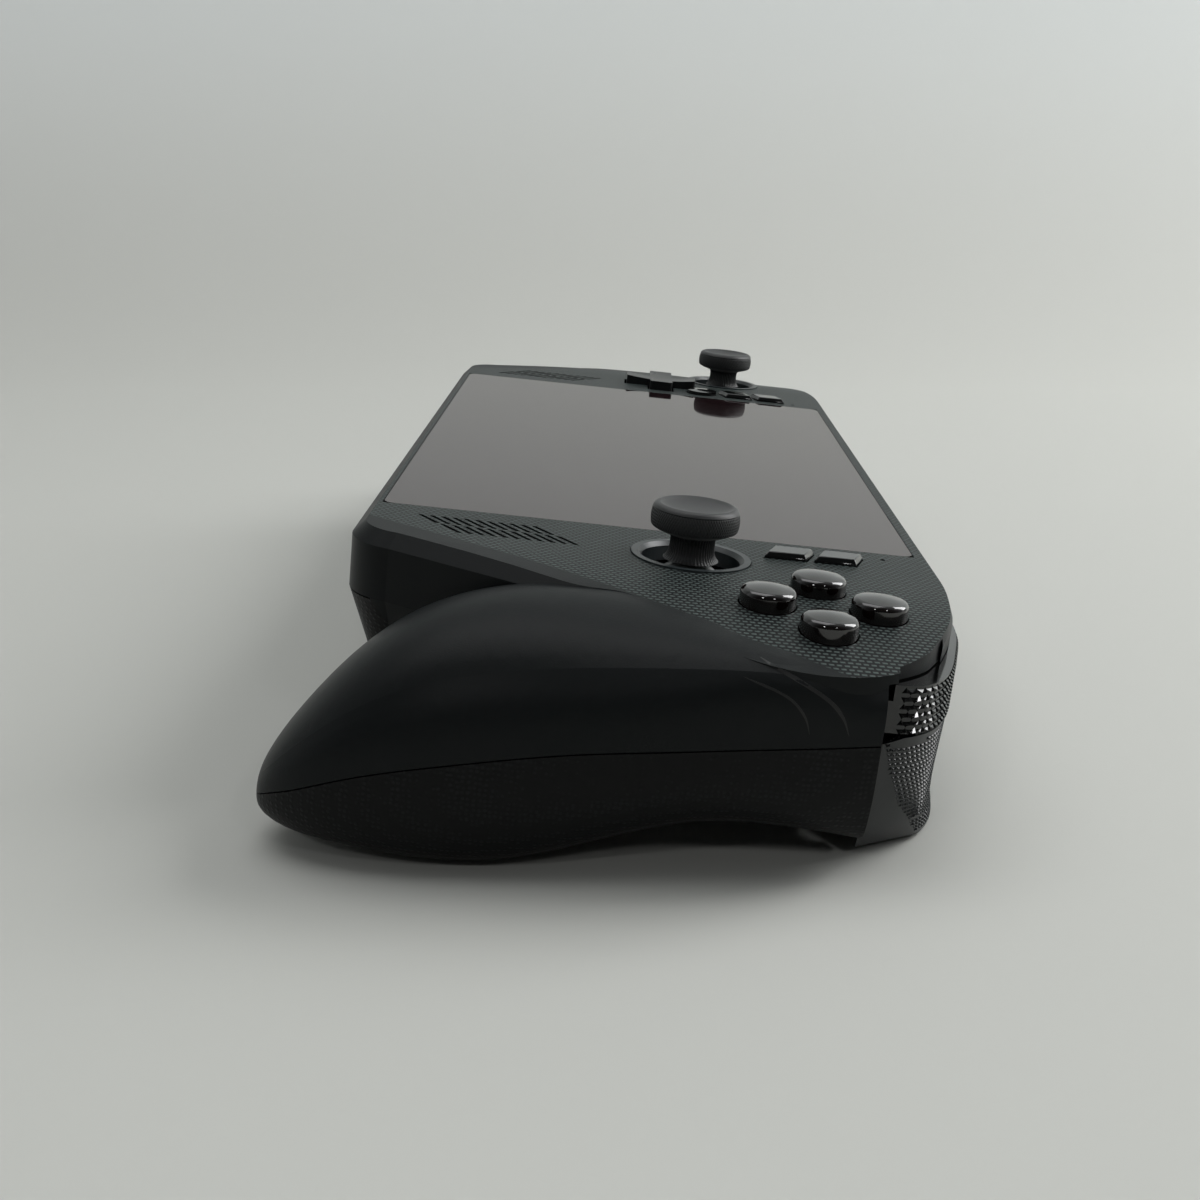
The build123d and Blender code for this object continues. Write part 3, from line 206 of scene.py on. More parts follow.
class ConsoleSizes(bpy.types.PropertyGroup):
    """Sizes of the console's fine parts."""
    cap_ribs: IntProperty(name="Cap ribs", description="Ribs round the rim of a stick cap",
                          default=96, min=24)
    rib_depth: FloatProperty(name="Rib depth", description="Depth of the ribs of a stick cap",
                             default=0.1 * MM, unit="LENGTH")
    dash_pitch: FloatProperty(
        name="Dash pitch", description="Spacing of the face's dashes in a row",
        default=1.2 * MM, unit="LENGTH")
    dash_rows: FloatProperty(name="Dash rows", description="Distance between rows of dashes",
                             default=1.04 * MM, unit="LENGTH")
    grip_dots: FloatProperty(name="Grip dots", description="Spacing of the grips' moulded dots",
                             default=0.9 * MM, unit="LENGTH")
    bumper_columns: FloatProperty(name="Bumper columns", description="Spacing along a bumper",
                                  default=1.6 * MM, unit="LENGTH")
    bumper_rows: FloatProperty(name="Bumper rows", description="Spacing down a bumper",
                               default=1.3 * MM, unit="LENGTH")
    trigger_columns: FloatProperty(name="Trigger columns", description="Spacing along a trigger",
                                   default=1.0 * MM, unit="LENGTH")
    trigger_rows: FloatProperty(name="Trigger rows", description="Spacing down a trigger",
                                default=0.85 * MM, unit="LENGTH")
    menu_bevel: FloatProperty(name="Menu bevel", description="Width of a menu button's facets",
                              default=0.55 * MM, unit="LENGTH")


class ConsoleColours(bpy.types.PropertyGroup):
    """Colours of the console's finishes."""
    face: colour_property("Face", "Textured face of the console", "#101314")
    # The dashes' pale colour is painted highlight: the glint on their raised tops.
    dash: colour_property("Dashes", "Raised dashes on the face", "#515b59")
    grip: colour_property("Grips", "Rear shell and grips", "#090a0b")
    gloss: colour_property("Gloss", "Polished buttons and bumpers", "#0b0c0c")
    ring: colour_property("Rings", "Rings round the sticks", "#2b3133")
    hub: colour_property("Hubs", "Domes under the sticks", "#8a8d8c")
    glass: colour_property("Glass", "Dark screen", "#1e1315")


class StageSettings(bpy.types.PropertyGroup):
    """The room round the console."""
    table: colour_property("Table", "Table top", "#c6c7c2")
    wall: colour_property("Wall", "Wall behind the table", "#c8cccb")
    key_power: FloatProperty(name="Key lamp", description="Power of the large soft lamp",
                             default=23, unit="POWER")
    room_light: FloatProperty(name="Room light", description="Strength of the pale room",
                              default=0.95, min=0)


# Materials

def add(tree, kind, inputs=None, **settings):
    """Adds a shader node, sets its properties, and sets or links its sockets."""
    node = tree.nodes.new(kind)
    for name, value in settings.items():
        setattr(node, name, value)
    for socket, value in (inputs or {}).items():
        if isinstance(value, bpy.types.NodeSocket):
            tree.links.new(value, node.inputs[socket])
        else:
            node.inputs[socket].default_value = value
    return node


def start_material(name, **shader):
    """A new material with its shader's constants set: returns it, its tree and its shader."""
    material = bpy.data.materials.new(name)
    material.use_nodes = True
    tree = material.node_tree
    tree.nodes.clear()
    constants = {socket.replace("_", " "): value for socket, value in shader.items()}
    surface = add(tree, "ShaderNodeBsdfPrincipled", constants)
    add(tree, "ShaderNodeOutputMaterial", {"Surface": surface.outputs[0]})
    return material, tree, surface


def console_millimetres(tree):
    """The point in the console's own millimetres, from the resting object's coordinates."""
    place = add(tree, "ShaderNodeTexCoord").outputs["Object"]
    middle = Matrix.Rotation(TILT, 3, "X") @ glass_middle()
    return add(tree, "ShaderNodeMapping", {
        "Vector": place, "Scale": (1 / MM,) * 3, "Rotation": (TILT, 0, 0),
        "Location": -middle / MM}).outputs[0]


def moulded(name, colour, roughness, grain=0.35, depth=0.008, spread=0.05, **shader):
    """A moulded or worked surface: its grain in millimetres, and how far its gloss drifts."""
    material, tree, surface = start_material(name, Base_Color=colour, **shader)
    point = console_millimetres(tree)
    fine = add(tree, "ShaderNodeTexNoise", {"Vector": point, "Scale": 1 / grain, "Detail": 3.0})
    broad = add(tree, "ShaderNodeTexNoise", {
        "Vector": point, "Scale": 1 / GLOSS_PATCH, "Detail": 2.0})
    gloss = add(tree, "ShaderNodeMapRange", {
        "Value": broad.outputs["Fac"], "From Min": NOISE_SPAN[0], "From Max": NOISE_SPAN[1],
        "To Min": max(roughness - spread, 0.01), "To Max": roughness + spread})
    tree.links.new(gloss.outputs[0], surface.inputs["Roughness"])
    bump = add(tree, "ShaderNodeBump", {"Height": fine.outputs["Fac"], "Distance": depth * MM,
                                        "Strength": 1.0})
    tree.links.new(bump.outputs[0], surface.inputs["Normal"])
    return material


def face_material(sizes, colours):
    """Injection-moulded ABS: satin, with raised dashes inside a crease, painted paler as a painted
    highlight of their glint.
    """
    material, tree, surface = start_material(
        "moulded_abs_dashed", Roughness=0.42, IOR=1.5, Specular_IOR_Level=0.14)
    point = console_millimetres(tree)
    axes = add(tree, "ShaderNodeSeparateXYZ", {0: point}).outputs
    column = add(tree, "ShaderNodeMath", {0: axes[0], 1: sizes.dash_rows / MM}, operation="DIVIDE")
    row = add(tree, "ShaderNodeMath", {0: column.outputs[0]}, operation="FLOOR")
    stagger = add(tree, "ShaderNodeMath", {0: row.outputs[0], 1: 0.5}, operation="MULTIPLY")
    along = add(tree, "ShaderNodeMath", {0: axes[1], 1: sizes.dash_pitch / MM}, operation="DIVIDE")
    along = add(tree, "ShaderNodeMath", {0: along.outputs[0], 1: stagger.outputs[0]},
                operation="ADD")
    dash = None
    for value, half in ((along, DASH_HALF_LENGTH), (column, DASH_HALF_WIDTH)):
        part = add(tree, "ShaderNodeMath", {0: value.outputs[0]}, operation="FRACT")
        part = add(tree, "ShaderNodeMath", {0: part.outputs[0], 1: 0.5}, operation="SUBTRACT")
        part = add(tree, "ShaderNodeMath", {0: part.outputs[0]}, operation="ABSOLUTE")
        part = add(tree, "ShaderNodeMapRange", {
            "Value": part.outputs[0], "From Min": half + DASH_FADE[0],
            "From Max": half - DASH_FADE[1]}, interpolation_type="SMOOTHSTEP")
        dash = part if dash is None else add(
            tree, "ShaderNodeMath", {0: dash.outputs[0], 1: part.outputs[0]}, operation="MULTIPLY")
    # The dashes keep inside the crease: the circle round the four buttons, or the face beside it.
    side = add(tree, "ShaderNodeMath", {0: axes[0]}, operation="ABSOLUTE")
    middle = add(tree, "ShaderNodeCombineXYZ", {0: side.outputs[0], 1: axes[1]})
    reach = add(tree, "ShaderNodeVectorMath", {0: middle.outputs[0], 1: CREASE_MIDDLE},
                operation="DISTANCE")
    circle = add(tree, "ShaderNodeMapRange", {
        "Value": reach.outputs["Value"], "From Min": CREASE_RADIUS + CREASE_SOFT,
        "From Max": CREASE_RADIUS - CREASE_SOFT}, interpolation_type="SMOOTHSTEP")
    across = add(tree, "ShaderNodeVectorMath", {0: middle.outputs[0], 1: CREASE_LINE_FACES},
                 operation="DOT_PRODUCT")
    beside = add(tree, "ShaderNodeMapRange", {
        "Value": across.outputs["Value"], "From Min": CREASE_LINE_AT - CREASE_LINE_SOFT,
        "From Max": CREASE_LINE_AT + CREASE_LINE_SOFT}, interpolation_type="SMOOTHSTEP")
    zone = add(tree, "ShaderNodeMath", {0: circle.outputs[0], 1: beside.outputs[0]},
               operation="MAXIMUM")
    facing = add(tree, "ShaderNodeVectorMath", {
        0: add(tree, "ShaderNodeTexCoord").outputs["Normal"],
        1: (0.0, math.sin(TILT), math.cos(TILT))}, operation="DOT_PRODUCT")
    flat = add(tree, "ShaderNodeMapRange", {
        "Value": facing.outputs["Value"], "From Min": FACE_FLATNESS[0],
        "From Max": FACE_FLATNESS[1]})
    zone = add(tree, "ShaderNodeMath", {0: zone.outputs[0], 1: flat.outputs[0]},
               operation="MULTIPLY")
    shown = add(tree, "ShaderNodeMath", {0: dash.outputs[0], 1: zone.outputs[0]},
                operation="MULTIPLY")
    satin = add(tree, "ShaderNodeMix", {
        "Factor": zone.outputs[0], 6: linear("#131617"), 7: list(colours.face)}, data_type="RGBA")
    # Painted highlight: the dashes are tinted paler, standing for the glint on their tops.
    tone = add(tree, "ShaderNodeMix", {
        "Factor": shown.outputs[0], 6: satin.outputs[2], 7: list(colours.dash)}, data_type="RGBA")
    tree.links.new(tone.outputs[2], surface.inputs["Base Color"])
    fine = add(tree, "ShaderNodeTexNoise", {
        "Vector": point, "Scale": 1 / FACE_GRAIN, "Detail": 3.0})
    grain = add(tree, "ShaderNodeBump", {
        "Height": fine.outputs["Fac"], "Distance": FACE_GRAIN_HEIGHT * MM})
    raised = add(tree, "ShaderNodeBump", {
        "Height": shown.outputs[0], "Distance": DASH_HEIGHT * MM, "Normal": grain.outputs[0]})
    tree.links.new(raised.outputs[0], surface.inputs["Normal"])
    return material


def grip_material(sizes, colours):
    """Injection-moulded ABS with fine sparked dots, a little paler on their tops."""
    material, tree, surface = start_material(
        "moulded_abs_dotted", Roughness=0.45, IOR=1.5, Specular_IOR_Level=0.16)
    point = console_millimetres(tree)
    cells = add(tree, "ShaderNodeTexVoronoi", {
        "Vector": point, "Scale": MM / sizes.grip_dots, "Randomness": DOT_RANDOMNESS},
        feature="F1")
    dot = add(tree, "ShaderNodeMapRange", {
        "Value": cells.outputs["Distance"], "From Min": DOT_FADE[0], "From Max": DOT_FADE[1]},
        interpolation_type="SMOOTHSTEP")
    tone = add(tree, "ShaderNodeMix", {
        "Factor": dot.outputs[0], 6: list(colours.grip), 7: linear("#141617")}, data_type="RGBA")
    tree.links.new(tone.outputs[2], surface.inputs["Base Color"])
    bump = add(tree, "ShaderNodeBump", {"Height": dot.outputs[0], "Distance": DOT_HEIGHT * MM})
    tree.links.new(bump.outputs[0], surface.inputs["Normal"])
    return material


def dress(material, slots=(), nodes=()):
    """Gives a material to the nodes of some record slots, or to nodes by name."""
    for name in [n for n in frame["nodes"] if SLOTS[n] in slots] + list(nodes):
        mesh = frame["nodes"][name].data
        mesh.materials.clear()
        mesh.materials.append(material)


# Shapes

def make_piece(name, body, material, points, faces, stands_for=(), sharp=30):
    """A mesh from points in the console's millimetres, riding on a body of the frame."""
    mesh = bpy.data.meshes.new(name)
    mesh.from_pydata([TO_TABLE @ Vector(point) for point in points], [], faces)
    mesh.materials.append(material)
    mesh.shade_smooth()
    mesh.set_sharp_from_angle(angle=math.radians(sharp))
    piece = bpy.data.objects.new(name, mesh)
    bpy.context.scene.collection.objects.link(piece)
    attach(piece, body)
    if stands_for:
        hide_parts(*stands_for)
    return piece


def turned(profile, segments, centre, relief):
    """A closed turned shape: rings of points up a profile, each moved out by its relief."""
    points, faces = [], []
    for radius, height in profile:
        for k in range(segments):
            angle = 2 * math.pi * k / segments
            reach = radius + relief(radius, height, angle)
            points.append((centre[0] + reach * math.cos(angle),
                           centre[1] + reach * math.sin(angle), height))
    for level in range(len(profile) - 1):
        for k in range(segments):
            a, b = level * segments + k, level * segments + (k + 1) % segments
            faces.append((a, b, b + segments, a + segments))
    top = (len(profile) - 1) * segments
    faces.append(tuple(range(segments))[::-1])
    points.append((centre[0], centre[1], profile[-1][1] - CLOSING_DIP))
    faces += [(top + k, top + (k + 1) % segments, len(points) - 1) for k in range(segments)]
    return points, faces


def smooth_path(points, count):
    """Evenly spaced points on a smooth curve through some points."""
    ends = [[2 * a - b for a, b in zip(points[0], points[1])]] + [list(p) for p in points]
    ends.append([2 * a - b for a, b in zip(points[-1], points[-2])])
    dense = []
    for i in range(1, len(ends) - 2):
        before, start, end, after = (Vector(p) for p in ends[i - 1:i + 3])
        for k in range(CURVE_STEPS):
            t = k / CURVE_STEPS
            dense.append(0.5 * (2 * start + (end - before) * t
                                + (2 * before - 5 * start + 4 * end - after) * t ** 2
                                + (3 * start - before - 3 * end + after) * t ** 3))
    dense.append(Vector(points[-1]))
    lengths = [0]
    for a, b in zip(dense, dense[1:]):
        lengths.append(lengths[-1] + (b - a).length)
    out, k = [], 0
    for i in range(count):
        goal = lengths[-1] * i / (count - 1)
        while k < len(dense) - 2 and lengths[k + 1] < goal:
            k += 1
        share = (goal - lengths[k]) / max(lengths[k + 1] - lengths[k], 1e-9)
        out.append(dense[k].lerp(dense[k + 1], share))
    return out, lengths[-1]


def surface_of(*names):
    """The joined surface of some CAD nodes, for finding points on it."""
    points, faces = [], []
    for name in names:
        mesh = frame["nodes"][name].data
        start = len(points)
        points += [v.co.copy() for v in mesh.vertices]
        faces += [[start + i for i in face.vertices] for face in mesh.polygons]
    return BVHTree.FromPolygons(points, faces)


def pyramids(surface, rows, height, wide, tall):
    """Small three-sided pyramids set into a surface: rows of points in console millimetres."""
    back = TO_TABLE.inverted()
    points, faces = [], []
    for number, row in enumerate(rows):
        for step, (before, place, after) in enumerate(zip(row, row[1:], row[2:])):
            hit, normal, _, _ = surface.find_nearest(TO_TABLE @ place)
            along = (after - before).normalized()
            out = (back.to_3x3() @ normal).normalized()
            up = out.cross(along).normalized()
            if up.z < 0:
                up = -up
            base = back @ hit
            turn = 1 if (number + step) % 2 else -1
            start = len(points)
            sunk = base - out * KNURL_ROOT
            points += [sunk - along * wide / 2 - up * turn * tall / 3,
                       sunk + along * wide / 2 - up * turn * tall / 3,
                       sunk + up * turn * tall * 2 / 3, base + out * height]
            a, b, c, d = range(start, start + 4)
            faces += [(a, b, d), (b, c, d), (c, a, d), (a, c, b)]
    return points, faces


# Operators

class DressShells(bpy.types.Operator):
    """Gives the face, the rear shell and the back buttons their moulded finishes"""
    bl_idname = "console.dress_shells"
    bl_label = "Dress shells"

    def execute(self, context):
        sizes, colours = context.scene.console_sizes, context.scene.console_colours
        dress(face_material(sizes, colours), slots=("face_plastic",))
        dress(grip_material(sizes, colours), slots=("grip_plastic",))
        return {"FINISHED"}


class DressScreen(bpy.types.Operator):
    """Gives the screen its dark mirror and the panel under it its black"""
    bl_idname = "console.dress_screen"
    bl_label = "Dress screen"

    def execute(self, context):
        colours = context.scene.console_colours
        # Toughened glass over a dark panel: nearly a mirror, with a warm cast.
        dress(moulded("toughened_glass_dark", list(colours.glass), 0.035, grain=20, depth=0.0005,
                      spread=0.01, IOR=1.52, Specular_IOR_Level=0.55,
                      Specular_Tint=linear("#ffdcd6")), slots=("screen_glass",))
        # Black polarised panel: a soft sheen under the glass.
        dress(moulded("polarised_panel_black", linear("#050505"), 0.25), slots=("display_black",))
        return {"FINISHED"}


class BuildStickCaps(bpy.types.Operator):
    """Builds both stick caps with ribbed rims, hollow tops and ribbed stems"""
    bl_idname = "console.build_stick_caps"
    bl_label = "Build stick caps"

    def execute(self, context):
        sizes = context.scene.console_sizes
        low, high, count = CAP_BAND
        band = [(CAP_SIDE + CAP_SWELL * math.sin(math.pi * (k + 1) / (count + 1)) ** 0.5,
                 low + (high - low) * (k + 1) / count) for k in range(count)]
        ribs, depth = sizes.cap_ribs, sizes.rib_depth / MM

        def relief(radius, height, angle):
            """Crossing ribs on the rim, upright ones on the stem, none on the smooth top."""
            if low < height < high and radius > RIBS_FROM_RADIUS:
                return depth * (abs(math.cos(ribs / 2 * angle + RIB_TWIST * height))
                                + abs(math.cos(ribs / 2 * angle - RIB_TWIST * height)) - 1)
            if height < STEM_RIBS_TOP and radius < STEM_RIBS_RADIUS:
                return depth * STEM_RIB_SHARE * math.cos(ribs / 2 * angle)
            return 0
        # Moulded rubber: dull black, a little sheen where thumbs polish it.
        rubber = moulded("moulded_rubber_black", linear("#17191a"), 0.5, grain=0.25, depth=0.01,
                         Sheen_Weight=0.15)
        for side, _ in SIDES:
            name = side + "_stick_cap"
            points, faces = turned(CAP_PROFILE + band + CAP_CROWN, ribs * POINTS_PER_RIB,
                                   STICK_PLACES[side], relief)
            make_piece(name + "_ribbed", name, rubber, points, faces,
                       stands_for=(name,), sharp=50)
        dress(rubber, slots=("stick_rubber",))
        return {"FINISHED"}


class DressStickBases(bpy.types.Operator):
    """Gives the rings, domes and yokes of the sticks their finishes"""
    bl_idname = "console.dress_stick_bases"
    bl_label = "Dress stick bases"

    def execute(self, context):
        colours = context.scene.console_colours
        # Painted ABS ring: smooth satin grey-blue.
        dress(moulded("painted_abs_ring", list(colours.ring), 0.36), slots=("ring_plastic",))
        # Acetal dome: pale, slick and a little waxy.
        dress(moulded("moulded_acetal_dome", list(colours.hub), 0.28), slots=("stick_plastic",))
        return {"FINISHED"}


class DressActionButtons(bpy.types.Operator):
    """Gives the four buttons their clear-coated dark resin"""
    bl_idname = "console.dress_action_buttons"
    bl_label = "Dress action buttons"

    def execute(self, context):
        # Cast resin under a clear coat: black with a red-brown depth.
        dress(moulded("cast_resin_dark", linear("#0d0706"), 0.07, grain=8, depth=0.001,
                      spread=0.01, IOR=1.53, Coat_Weight=0.6, Coat_Roughness=0.03),
              slots=("action_resin",))
        return {"FINISHED"}


class BuildMenuButtons(bpy.types.Operator):
    """Builds the four slanted buttons beside the screen with polished facets"""
    bl_idname = "console.build_menu_buttons"
    bl_label = "Build menu buttons"

    def execute(self, context):
        sizes, colours = context.scene.console_sizes, context.scene.console_colours
        bevel = sizes.menu_bevel / MM
        # Polished ABS: deep black, sharp reflections.
        gloss = moulded("polished_abs_black", list(colours.gloss), 0.09, grain=6, depth=0.001,
                        spread=0.02, IOR=1.5, Coat_Weight=0.3, Coat_Roughness=0.05)
        dress(gloss, slots=("gloss_black",))
        for name, (x, y) in MENU_PLACES.items():
            sign = 1 if x > 0 else -1
            points, faces = [], []
            for share, height in MENU_LEVELS:
                inset = bevel * share
                half_x, half_y = MENU_SIZE[0] / 2 - inset, MENU_SIZE[1] / 2 - inset
                lean = sign * MENU_SLANT / 2 * half_x / (MENU_SIZE[0] / 2)
                points += [(x - half_x, y - half_y + lean, height),
                           (x + half_x, y - half_y - lean, height),
                           (x + half_x, y + half_y - lean, height),
                           (x - half_x, y + half_y + lean, height)]
            for level in (0, 4):
                for k in range(4):
                    a, b = level + k, level + (k + 1) % 4
                    faces.append((a, b, b + 4, a + 4))
            faces += [(3, 2, 1, 0), (8, 9, 10, 11)]
            piece = make_piece(name + "_faceted", name, gloss, points, faces,
                               stands_for=(name,))
            edges = piece.modifiers.new("soft_edges", "BEVEL")
            edges.width = MENU_EDGE * MM
            edges.segments = 3
        return {"FINISHED"}


class DressPad(bpy.types.Operator):
    """Gives the direction pad its satin finish"""
    bl_idname = "console.dress_pad"
    bl_label = "Dress direction pad"

    def execute(self, context):
        # Moulded ABS, satin all over.
        dress(moulded("moulded_abs_pad", linear("#141617"), 0.3), slots=("pad_plastic",))
        return {"FINISHED"}


class BuildShoulders(bpy.types.Operator):
    """Builds the knurled faces of the bumpers and triggers"""
    bl_idname = "console.build_shoulders"
    bl_label = "Build shoulder knurls"

    def execute(self, context):
        sizes = context.scene.console_sizes
        gloss = bpy.data.materials["polished_abs_black"]
        # Moulded ABS, spark-textured satin black.
        satin = moulded("moulded_abs_trigger", linear("#15181a"), 0.32, IOR=1.5)
        dress(satin, slots=("trigger_plastic",))
        for side, sign in SIDES:
            node = side + "_bumper"
            across, down = sizes.bumper_columns / MM, sizes.bumper_rows / MM
            rows = []
            for number in range(BUMPER_ROW_COUNT):
                z = BUMPER_TOP_ROW - down * number
                path = [(sign * x, y, z) for x, y in SHOULDER_PATH]
                length = smooth_path(path, MEASURE_POINTS)[1]
                rows.append(smooth_path(path, int(length / across * 2))[0])
            points, faces = pyramids(surface_of(node), rows, BUMPER_PEAK, across, down)
            make_piece(node + "_knurl", node, gloss, points, faces, sharp=10)
            node = side + "_trigger"
            across, down = sizes.trigger_columns / MM, sizes.trigger_rows / MM
            rows, z = [], TRIGGER_CORNERS[0][0] - TRIGGER_TOP_MARGIN
            while z > TRIGGER_CORNERS[-1][0] + TRIGGER_LOW_MARGIN:
                for (high, x0, y0), (low, x1, y1) in zip(TRIGGER_CORNERS, TRIGGER_CORNERS[1:]):
                    if low <= z <= high:
                        share = (high - z) / (high - low)
                        corner = (x0 + (x1 - x0) * share, y0 + (y1 - y0) * share)
                path = [(sign * x, y, z) for x, y in SHOULDER_PATH[1:5]
                        if x < corner[0] - TRIGGER_CORNER_ROOM]
                path.append((sign * corner[0], corner[1], z))
                count = int(smooth_path(path, MEASURE_POINTS)[1] / across * 2)
                rows.append(smooth_path(path, count)[0])
                z -= down
            points, faces = pyramids(surface_of(node), rows, TRIGGER_PEAK, across, down)
            make_piece(node + "_knurl", node, satin, points, faces, sharp=10)
        return {"FINISHED"}


class BuildGrooveShade(bpy.types.Operator):
    """Lays a near-black strip along the two curved grooves on the side of each grip: painted shade
    for their recesses
    """
    bl_idname = "console.build_grooves"
    bl_label = "Build grip grooves"

    def execute(self, context):
        # Painted shade: a near-black strip that stands for the shadow inside each groove.
        shade = moulded("painted_groove_shade", linear("#060707"), 0.55)
        surface = surface_of("front_shell", "back_shell")
        back, last = TO_TABLE.inverted(), GROOVE_STEPS - 1
        for side, sign in SIDES:
            points, faces = [], []
            for path, wide in GROOVES:
                line = smooth_path([(0, y, z) for y, z in path], GROOVE_STEPS)[0]
                start = len(points)
                for k, place in enumerate(line):
                    ahead = (line[min(k + 1, last)] - line[max(k - 1, 0)]).normalized()
                    across = ahead.cross(Vector((1, 0, 0))).normalized()
                    taper = min(1, GROOVE_TAPER * (k + 1) / GROOVE_STEPS,
                                GROOVE_TAPER * (GROOVE_STEPS - k) / GROOVE_STEPS)
                    for step, proud in GROOVE_SECTION:
                        at = place + across * wide * taper * step
                        origin = TO_TABLE @ Vector((sign * BESIDE_CONSOLE, at.y, at.z))
                        hit = surface.ray_cast(origin, -OUTWARD[sign])[0]
                        if hit is None:
                            raise RuntimeError("a groove's point misses the shell")
                        points.append(back @ hit + OUTWARD[sign] * proud)
                for k in range(last):
                    for j in range(4):
                        a, b = start + 4 * k + j, start + 4 * k + (j + 1) % 4
                        faces.append((a, b, b + 4, a + 4))
                faces += [tuple(start + j for j in (3, 2, 1, 0)),
                          tuple(start + 4 * last + j for j in range(4))]
            make_piece(side + "_grip_groove_shade", "root", shade, points, faces)
        return {"FINISHED"}


class DressInside(bpy.types.Operator):
    """Gives the frame, boards, battery, cooling and fasteners their finishes"""
    bl_idname = "console.dress_inside"
    bl_label = "Dress inner parts"

    def execute(self, context):
        # Turned and plated steel; stamped anodised aluminium; drawn copper.
        dress(moulded("plated_steel", linear("#b9bab8"), 0.3, grain=0.2, Metallic=1.0),
              slots=("steel",))
        dress(moulded("anodised_aluminium", linear("#8d9092"), 0.38, grain=0.3, Metallic=1.0),
              slots=("frame_metal",))
        dress(moulded("drawn_copper", linear("#c8825c"), 0.3, grain=0.25, Metallic=1.0),
              slots=("copper",))
        # Solder mask, shrink wrap and glass-filled nylon.
        dress(moulded("solder_mask_dark", linear("#12241b"), 0.4), slots=("board_resin",))
        dress(moulded("shrink_wrap_black", linear("#121314"), 0.42), slots=("battery_wrap",))
        dress(moulded("glass_filled_nylon", linear("#1b1c1e"), 0.5, grain=0.2),
              slots=("inner_plastic",))
        return {"FINISHED"}


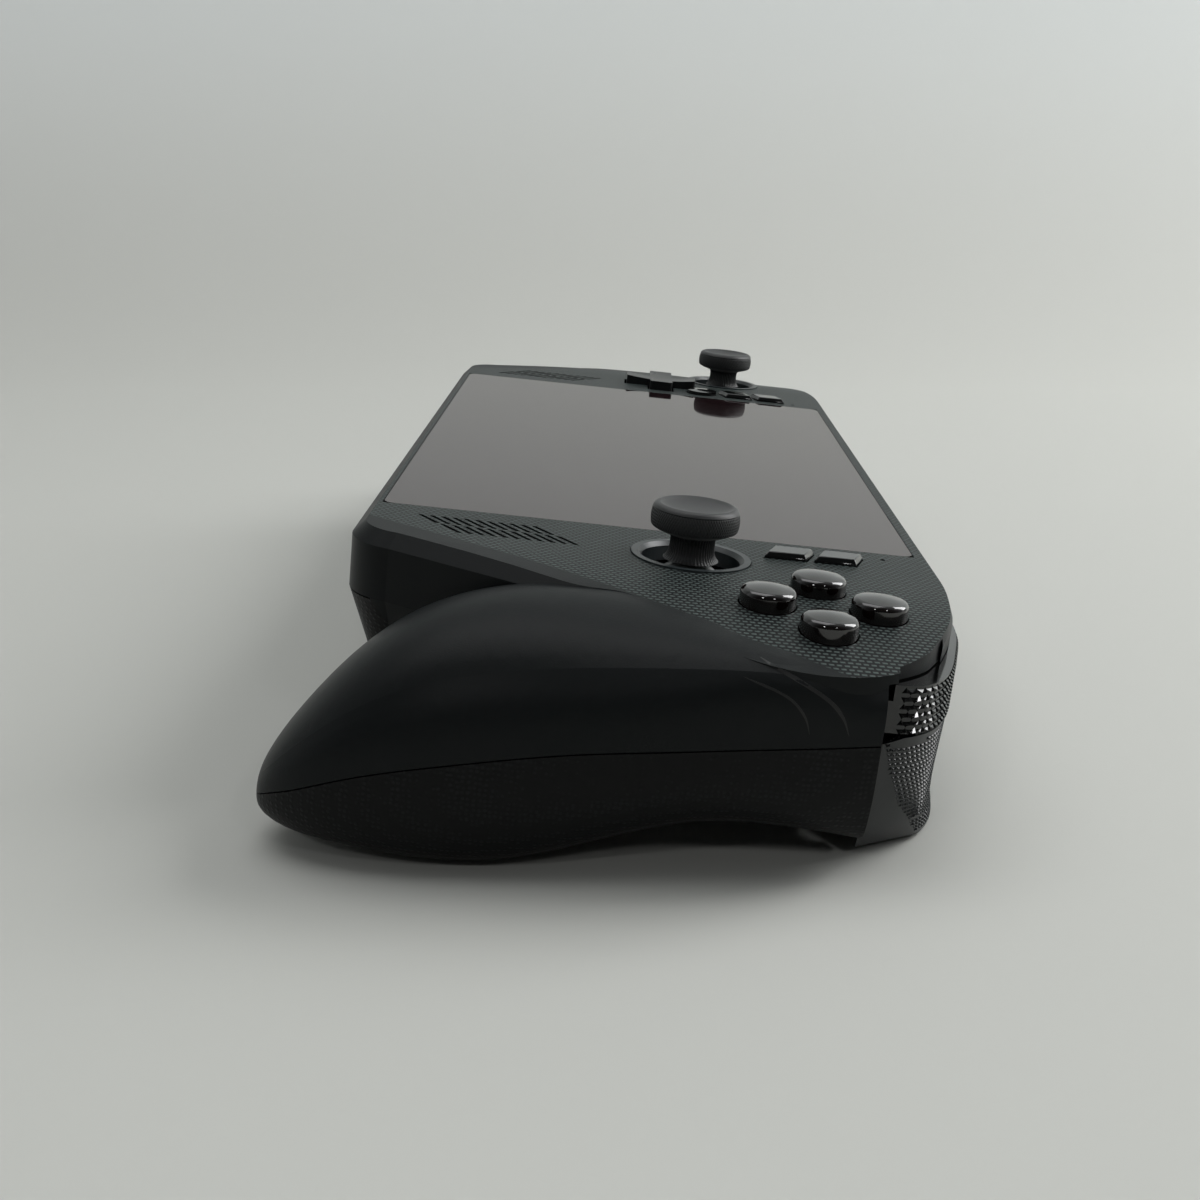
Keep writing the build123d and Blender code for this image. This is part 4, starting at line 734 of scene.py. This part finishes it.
class BuildStage(bpy.types.Operator):
    """Makes the table and wall in one sweep, the room's light, and the camera"""
    bl_idname = "console.build_stage"
    bl_label = "Build stage"

    def execute(self, context):
        scene, settings = context.scene, context.scene.console_stage
        sweep = [(TABLE_END, 0.0), (BEND_START, 0.0)]
        for k in range(1, BEND_STEPS + 1):
            angle = math.pi / 2 * k / BEND_STEPS
            sweep.append((BEND_START - BEND_RADIUS * math.sin(angle),
                          BEND_RADIUS * (1 - math.cos(angle))))
        sweep.append((BEND_START - BEND_RADIUS, WALL_TOP))
        mesh = bpy.data.meshes.new("sweep")
        mesh.from_pydata([(x, y, z) for x, z in sweep for y in (-HALF_STAGE, HALF_STAGE)], [],
                         [(2 * k, 2 * k + 1, 2 * k + 3, 2 * k + 2) for k in range(len(sweep) - 1)])
        mesh.shade_smooth()
        # Matt painted board: the table's colour passes into the wall's as it turns up. The wall
        # glows a little, to the camera and in glossy reflections only.
        paint, tree, surface = start_material("painted_board_matt", Roughness=0.75)
        height = add(tree, "ShaderNodeSeparateXYZ", {
            0: add(tree, "ShaderNodeTexCoord").outputs["Object"]}).outputs[2]
        share = add(tree, "ShaderNodeMapRange", {
            "Value": height, "From Min": 0.0, "From Max": WALL_FULL_AT},
            interpolation_type="SMOOTHSTEP")
        tone = add(tree, "ShaderNodeMix", {
            "Factor": share.outputs[0], 6: list(settings.table), 7: list(settings.wall)},
            data_type="RGBA")
        tree.links.new(tone.outputs[2], surface.inputs["Base Color"])
        rays = add(tree, "ShaderNodeLightPath").outputs
        seen = add(tree, "ShaderNodeMath", {0: rays["Is Camera Ray"], 1: rays["Is Glossy Ray"]},
                   operation="MAXIMUM")
        glow = add(tree, "ShaderNodeMath", {0: seen.outputs[0], 1: share.outputs[0]},
                   operation="MULTIPLY")
        glow = add(tree, "ShaderNodeMath", {0: glow.outputs[0], 1: WALL_GLOW},
                   operation="MULTIPLY")
        tree.links.new(tone.outputs[2], surface.inputs["Emission Color"])
        tree.links.new(glow.outputs[0], surface.inputs["Emission Strength"])
        mesh.materials.append(paint)
        board = bpy.data.objects.new("sweep", mesh)
        scene.collection.objects.link(board)

        world = bpy.data.worlds.new("room")
        world.use_nodes = True
        tree = world.node_tree
        tree.nodes.clear()
        way = add(tree, "ShaderNodeSeparateXYZ", {
            0: add(tree, "ShaderNodeTexCoord").outputs["Generated"]}).outputs[0]
        # Bright beyond the console, dark behind the camera.
        level = add(tree, "ShaderNodeMapRange", {
            "Value": way, "From Min": ROOM_SPAN[0], "From Max": ROOM_SPAN[1],
            "To Min": settings.room_light * ROOM_SHARES[0],
            "To Max": settings.room_light * ROOM_SHARES[1]},
            interpolation_type="SMOOTHSTEP")
        sky = add(tree, "ShaderNodeBackground", {
            "Color": linear("#cdd1d2"), "Strength": level.outputs[0]})
        add(tree, "ShaderNodeOutputWorld", {"Surface": sky.outputs[0]})
        scene.world = world

        for name, place, size, share in LAMPS:
            lamp = bpy.data.lights.new(name, "AREA")
            lamp.energy = settings.key_power * share
            lamp.size = size
            held = bpy.data.objects.new(name, lamp)
            held.location = place
            held.rotation_euler = (-Vector(place)).to_track_quat("-Z", "Y").to_euler()
            scene.collection.objects.link(held)

        camera = bpy.data.cameras.new("photograph")
        camera.lens = LENS
        camera.sensor_width = SENSOR_WIDTH
        camera.clip_start = NEAREST_SEEN
        eye = bpy.data.objects.new("photograph", camera)
        right, up = Vector(EYE_RIGHT).normalized(), Vector(EYE_UP).normalized()
        axes = Matrix((right, up, right.cross(up))).transposed().to_4x4()
        eye.matrix_world = Matrix.Translation(EYE) @ axes
        scene.collection.objects.link(eye)
        scene.camera = eye
        scene.view_settings.view_transform = "Standard"
        return {"FINISHED"}


OPERATORS = (DressShells, DressScreen, BuildStickCaps, DressStickBases, DressActionButtons,
             BuildMenuButtons, DressPad, BuildShoulders, BuildGrooveShade, DressInside, BuildStage)


class ConsolePanel(bpy.types.Panel):
    """Sizes, colours and steps of the console's dressing"""
    bl_idname = "VIEW3D_PT_console"
    bl_label = "Console"
    bl_space_type = "VIEW_3D"
    bl_region_type = "UI"
    bl_category = "Console"

    def draw(self, context):
        for group in (context.scene.console_sizes, context.scene.console_colours,
                      context.scene.console_stage):
            box = self.layout.box()
            for name in group.__annotations__:
                box.prop(group, name)
        for step in OPERATORS:
            self.layout.operator(step.bl_idname)


GROUPS = {"console_sizes": ConsoleSizes, "console_colours": ConsoleColours,
          "console_stage": StageSettings}


def register():
    """Registers the property groups, the operators and the panel."""
    for kind in (*GROUPS.values(), *OPERATORS, ConsolePanel):
        bpy.utils.register_class(kind)
    for name, kind in GROUPS.items():
        setattr(bpy.types.Scene, name, PointerProperty(type=kind))


def unregister():
    """Takes them all out again."""
    for name in GROUPS:
        delattr(bpy.types.Scene, name)
    for kind in (ConsolePanel, *reversed(OPERATORS), *GROUPS.values()):
        bpy.utils.unregister_class(kind)


def main():
    """Runs every step in order."""
    register()
    for step in OPERATORS:
        group, name = step.bl_idname.split(".")
        getattr(getattr(bpy.ops, group), name)()


if __name__ == "__main__":
    main()
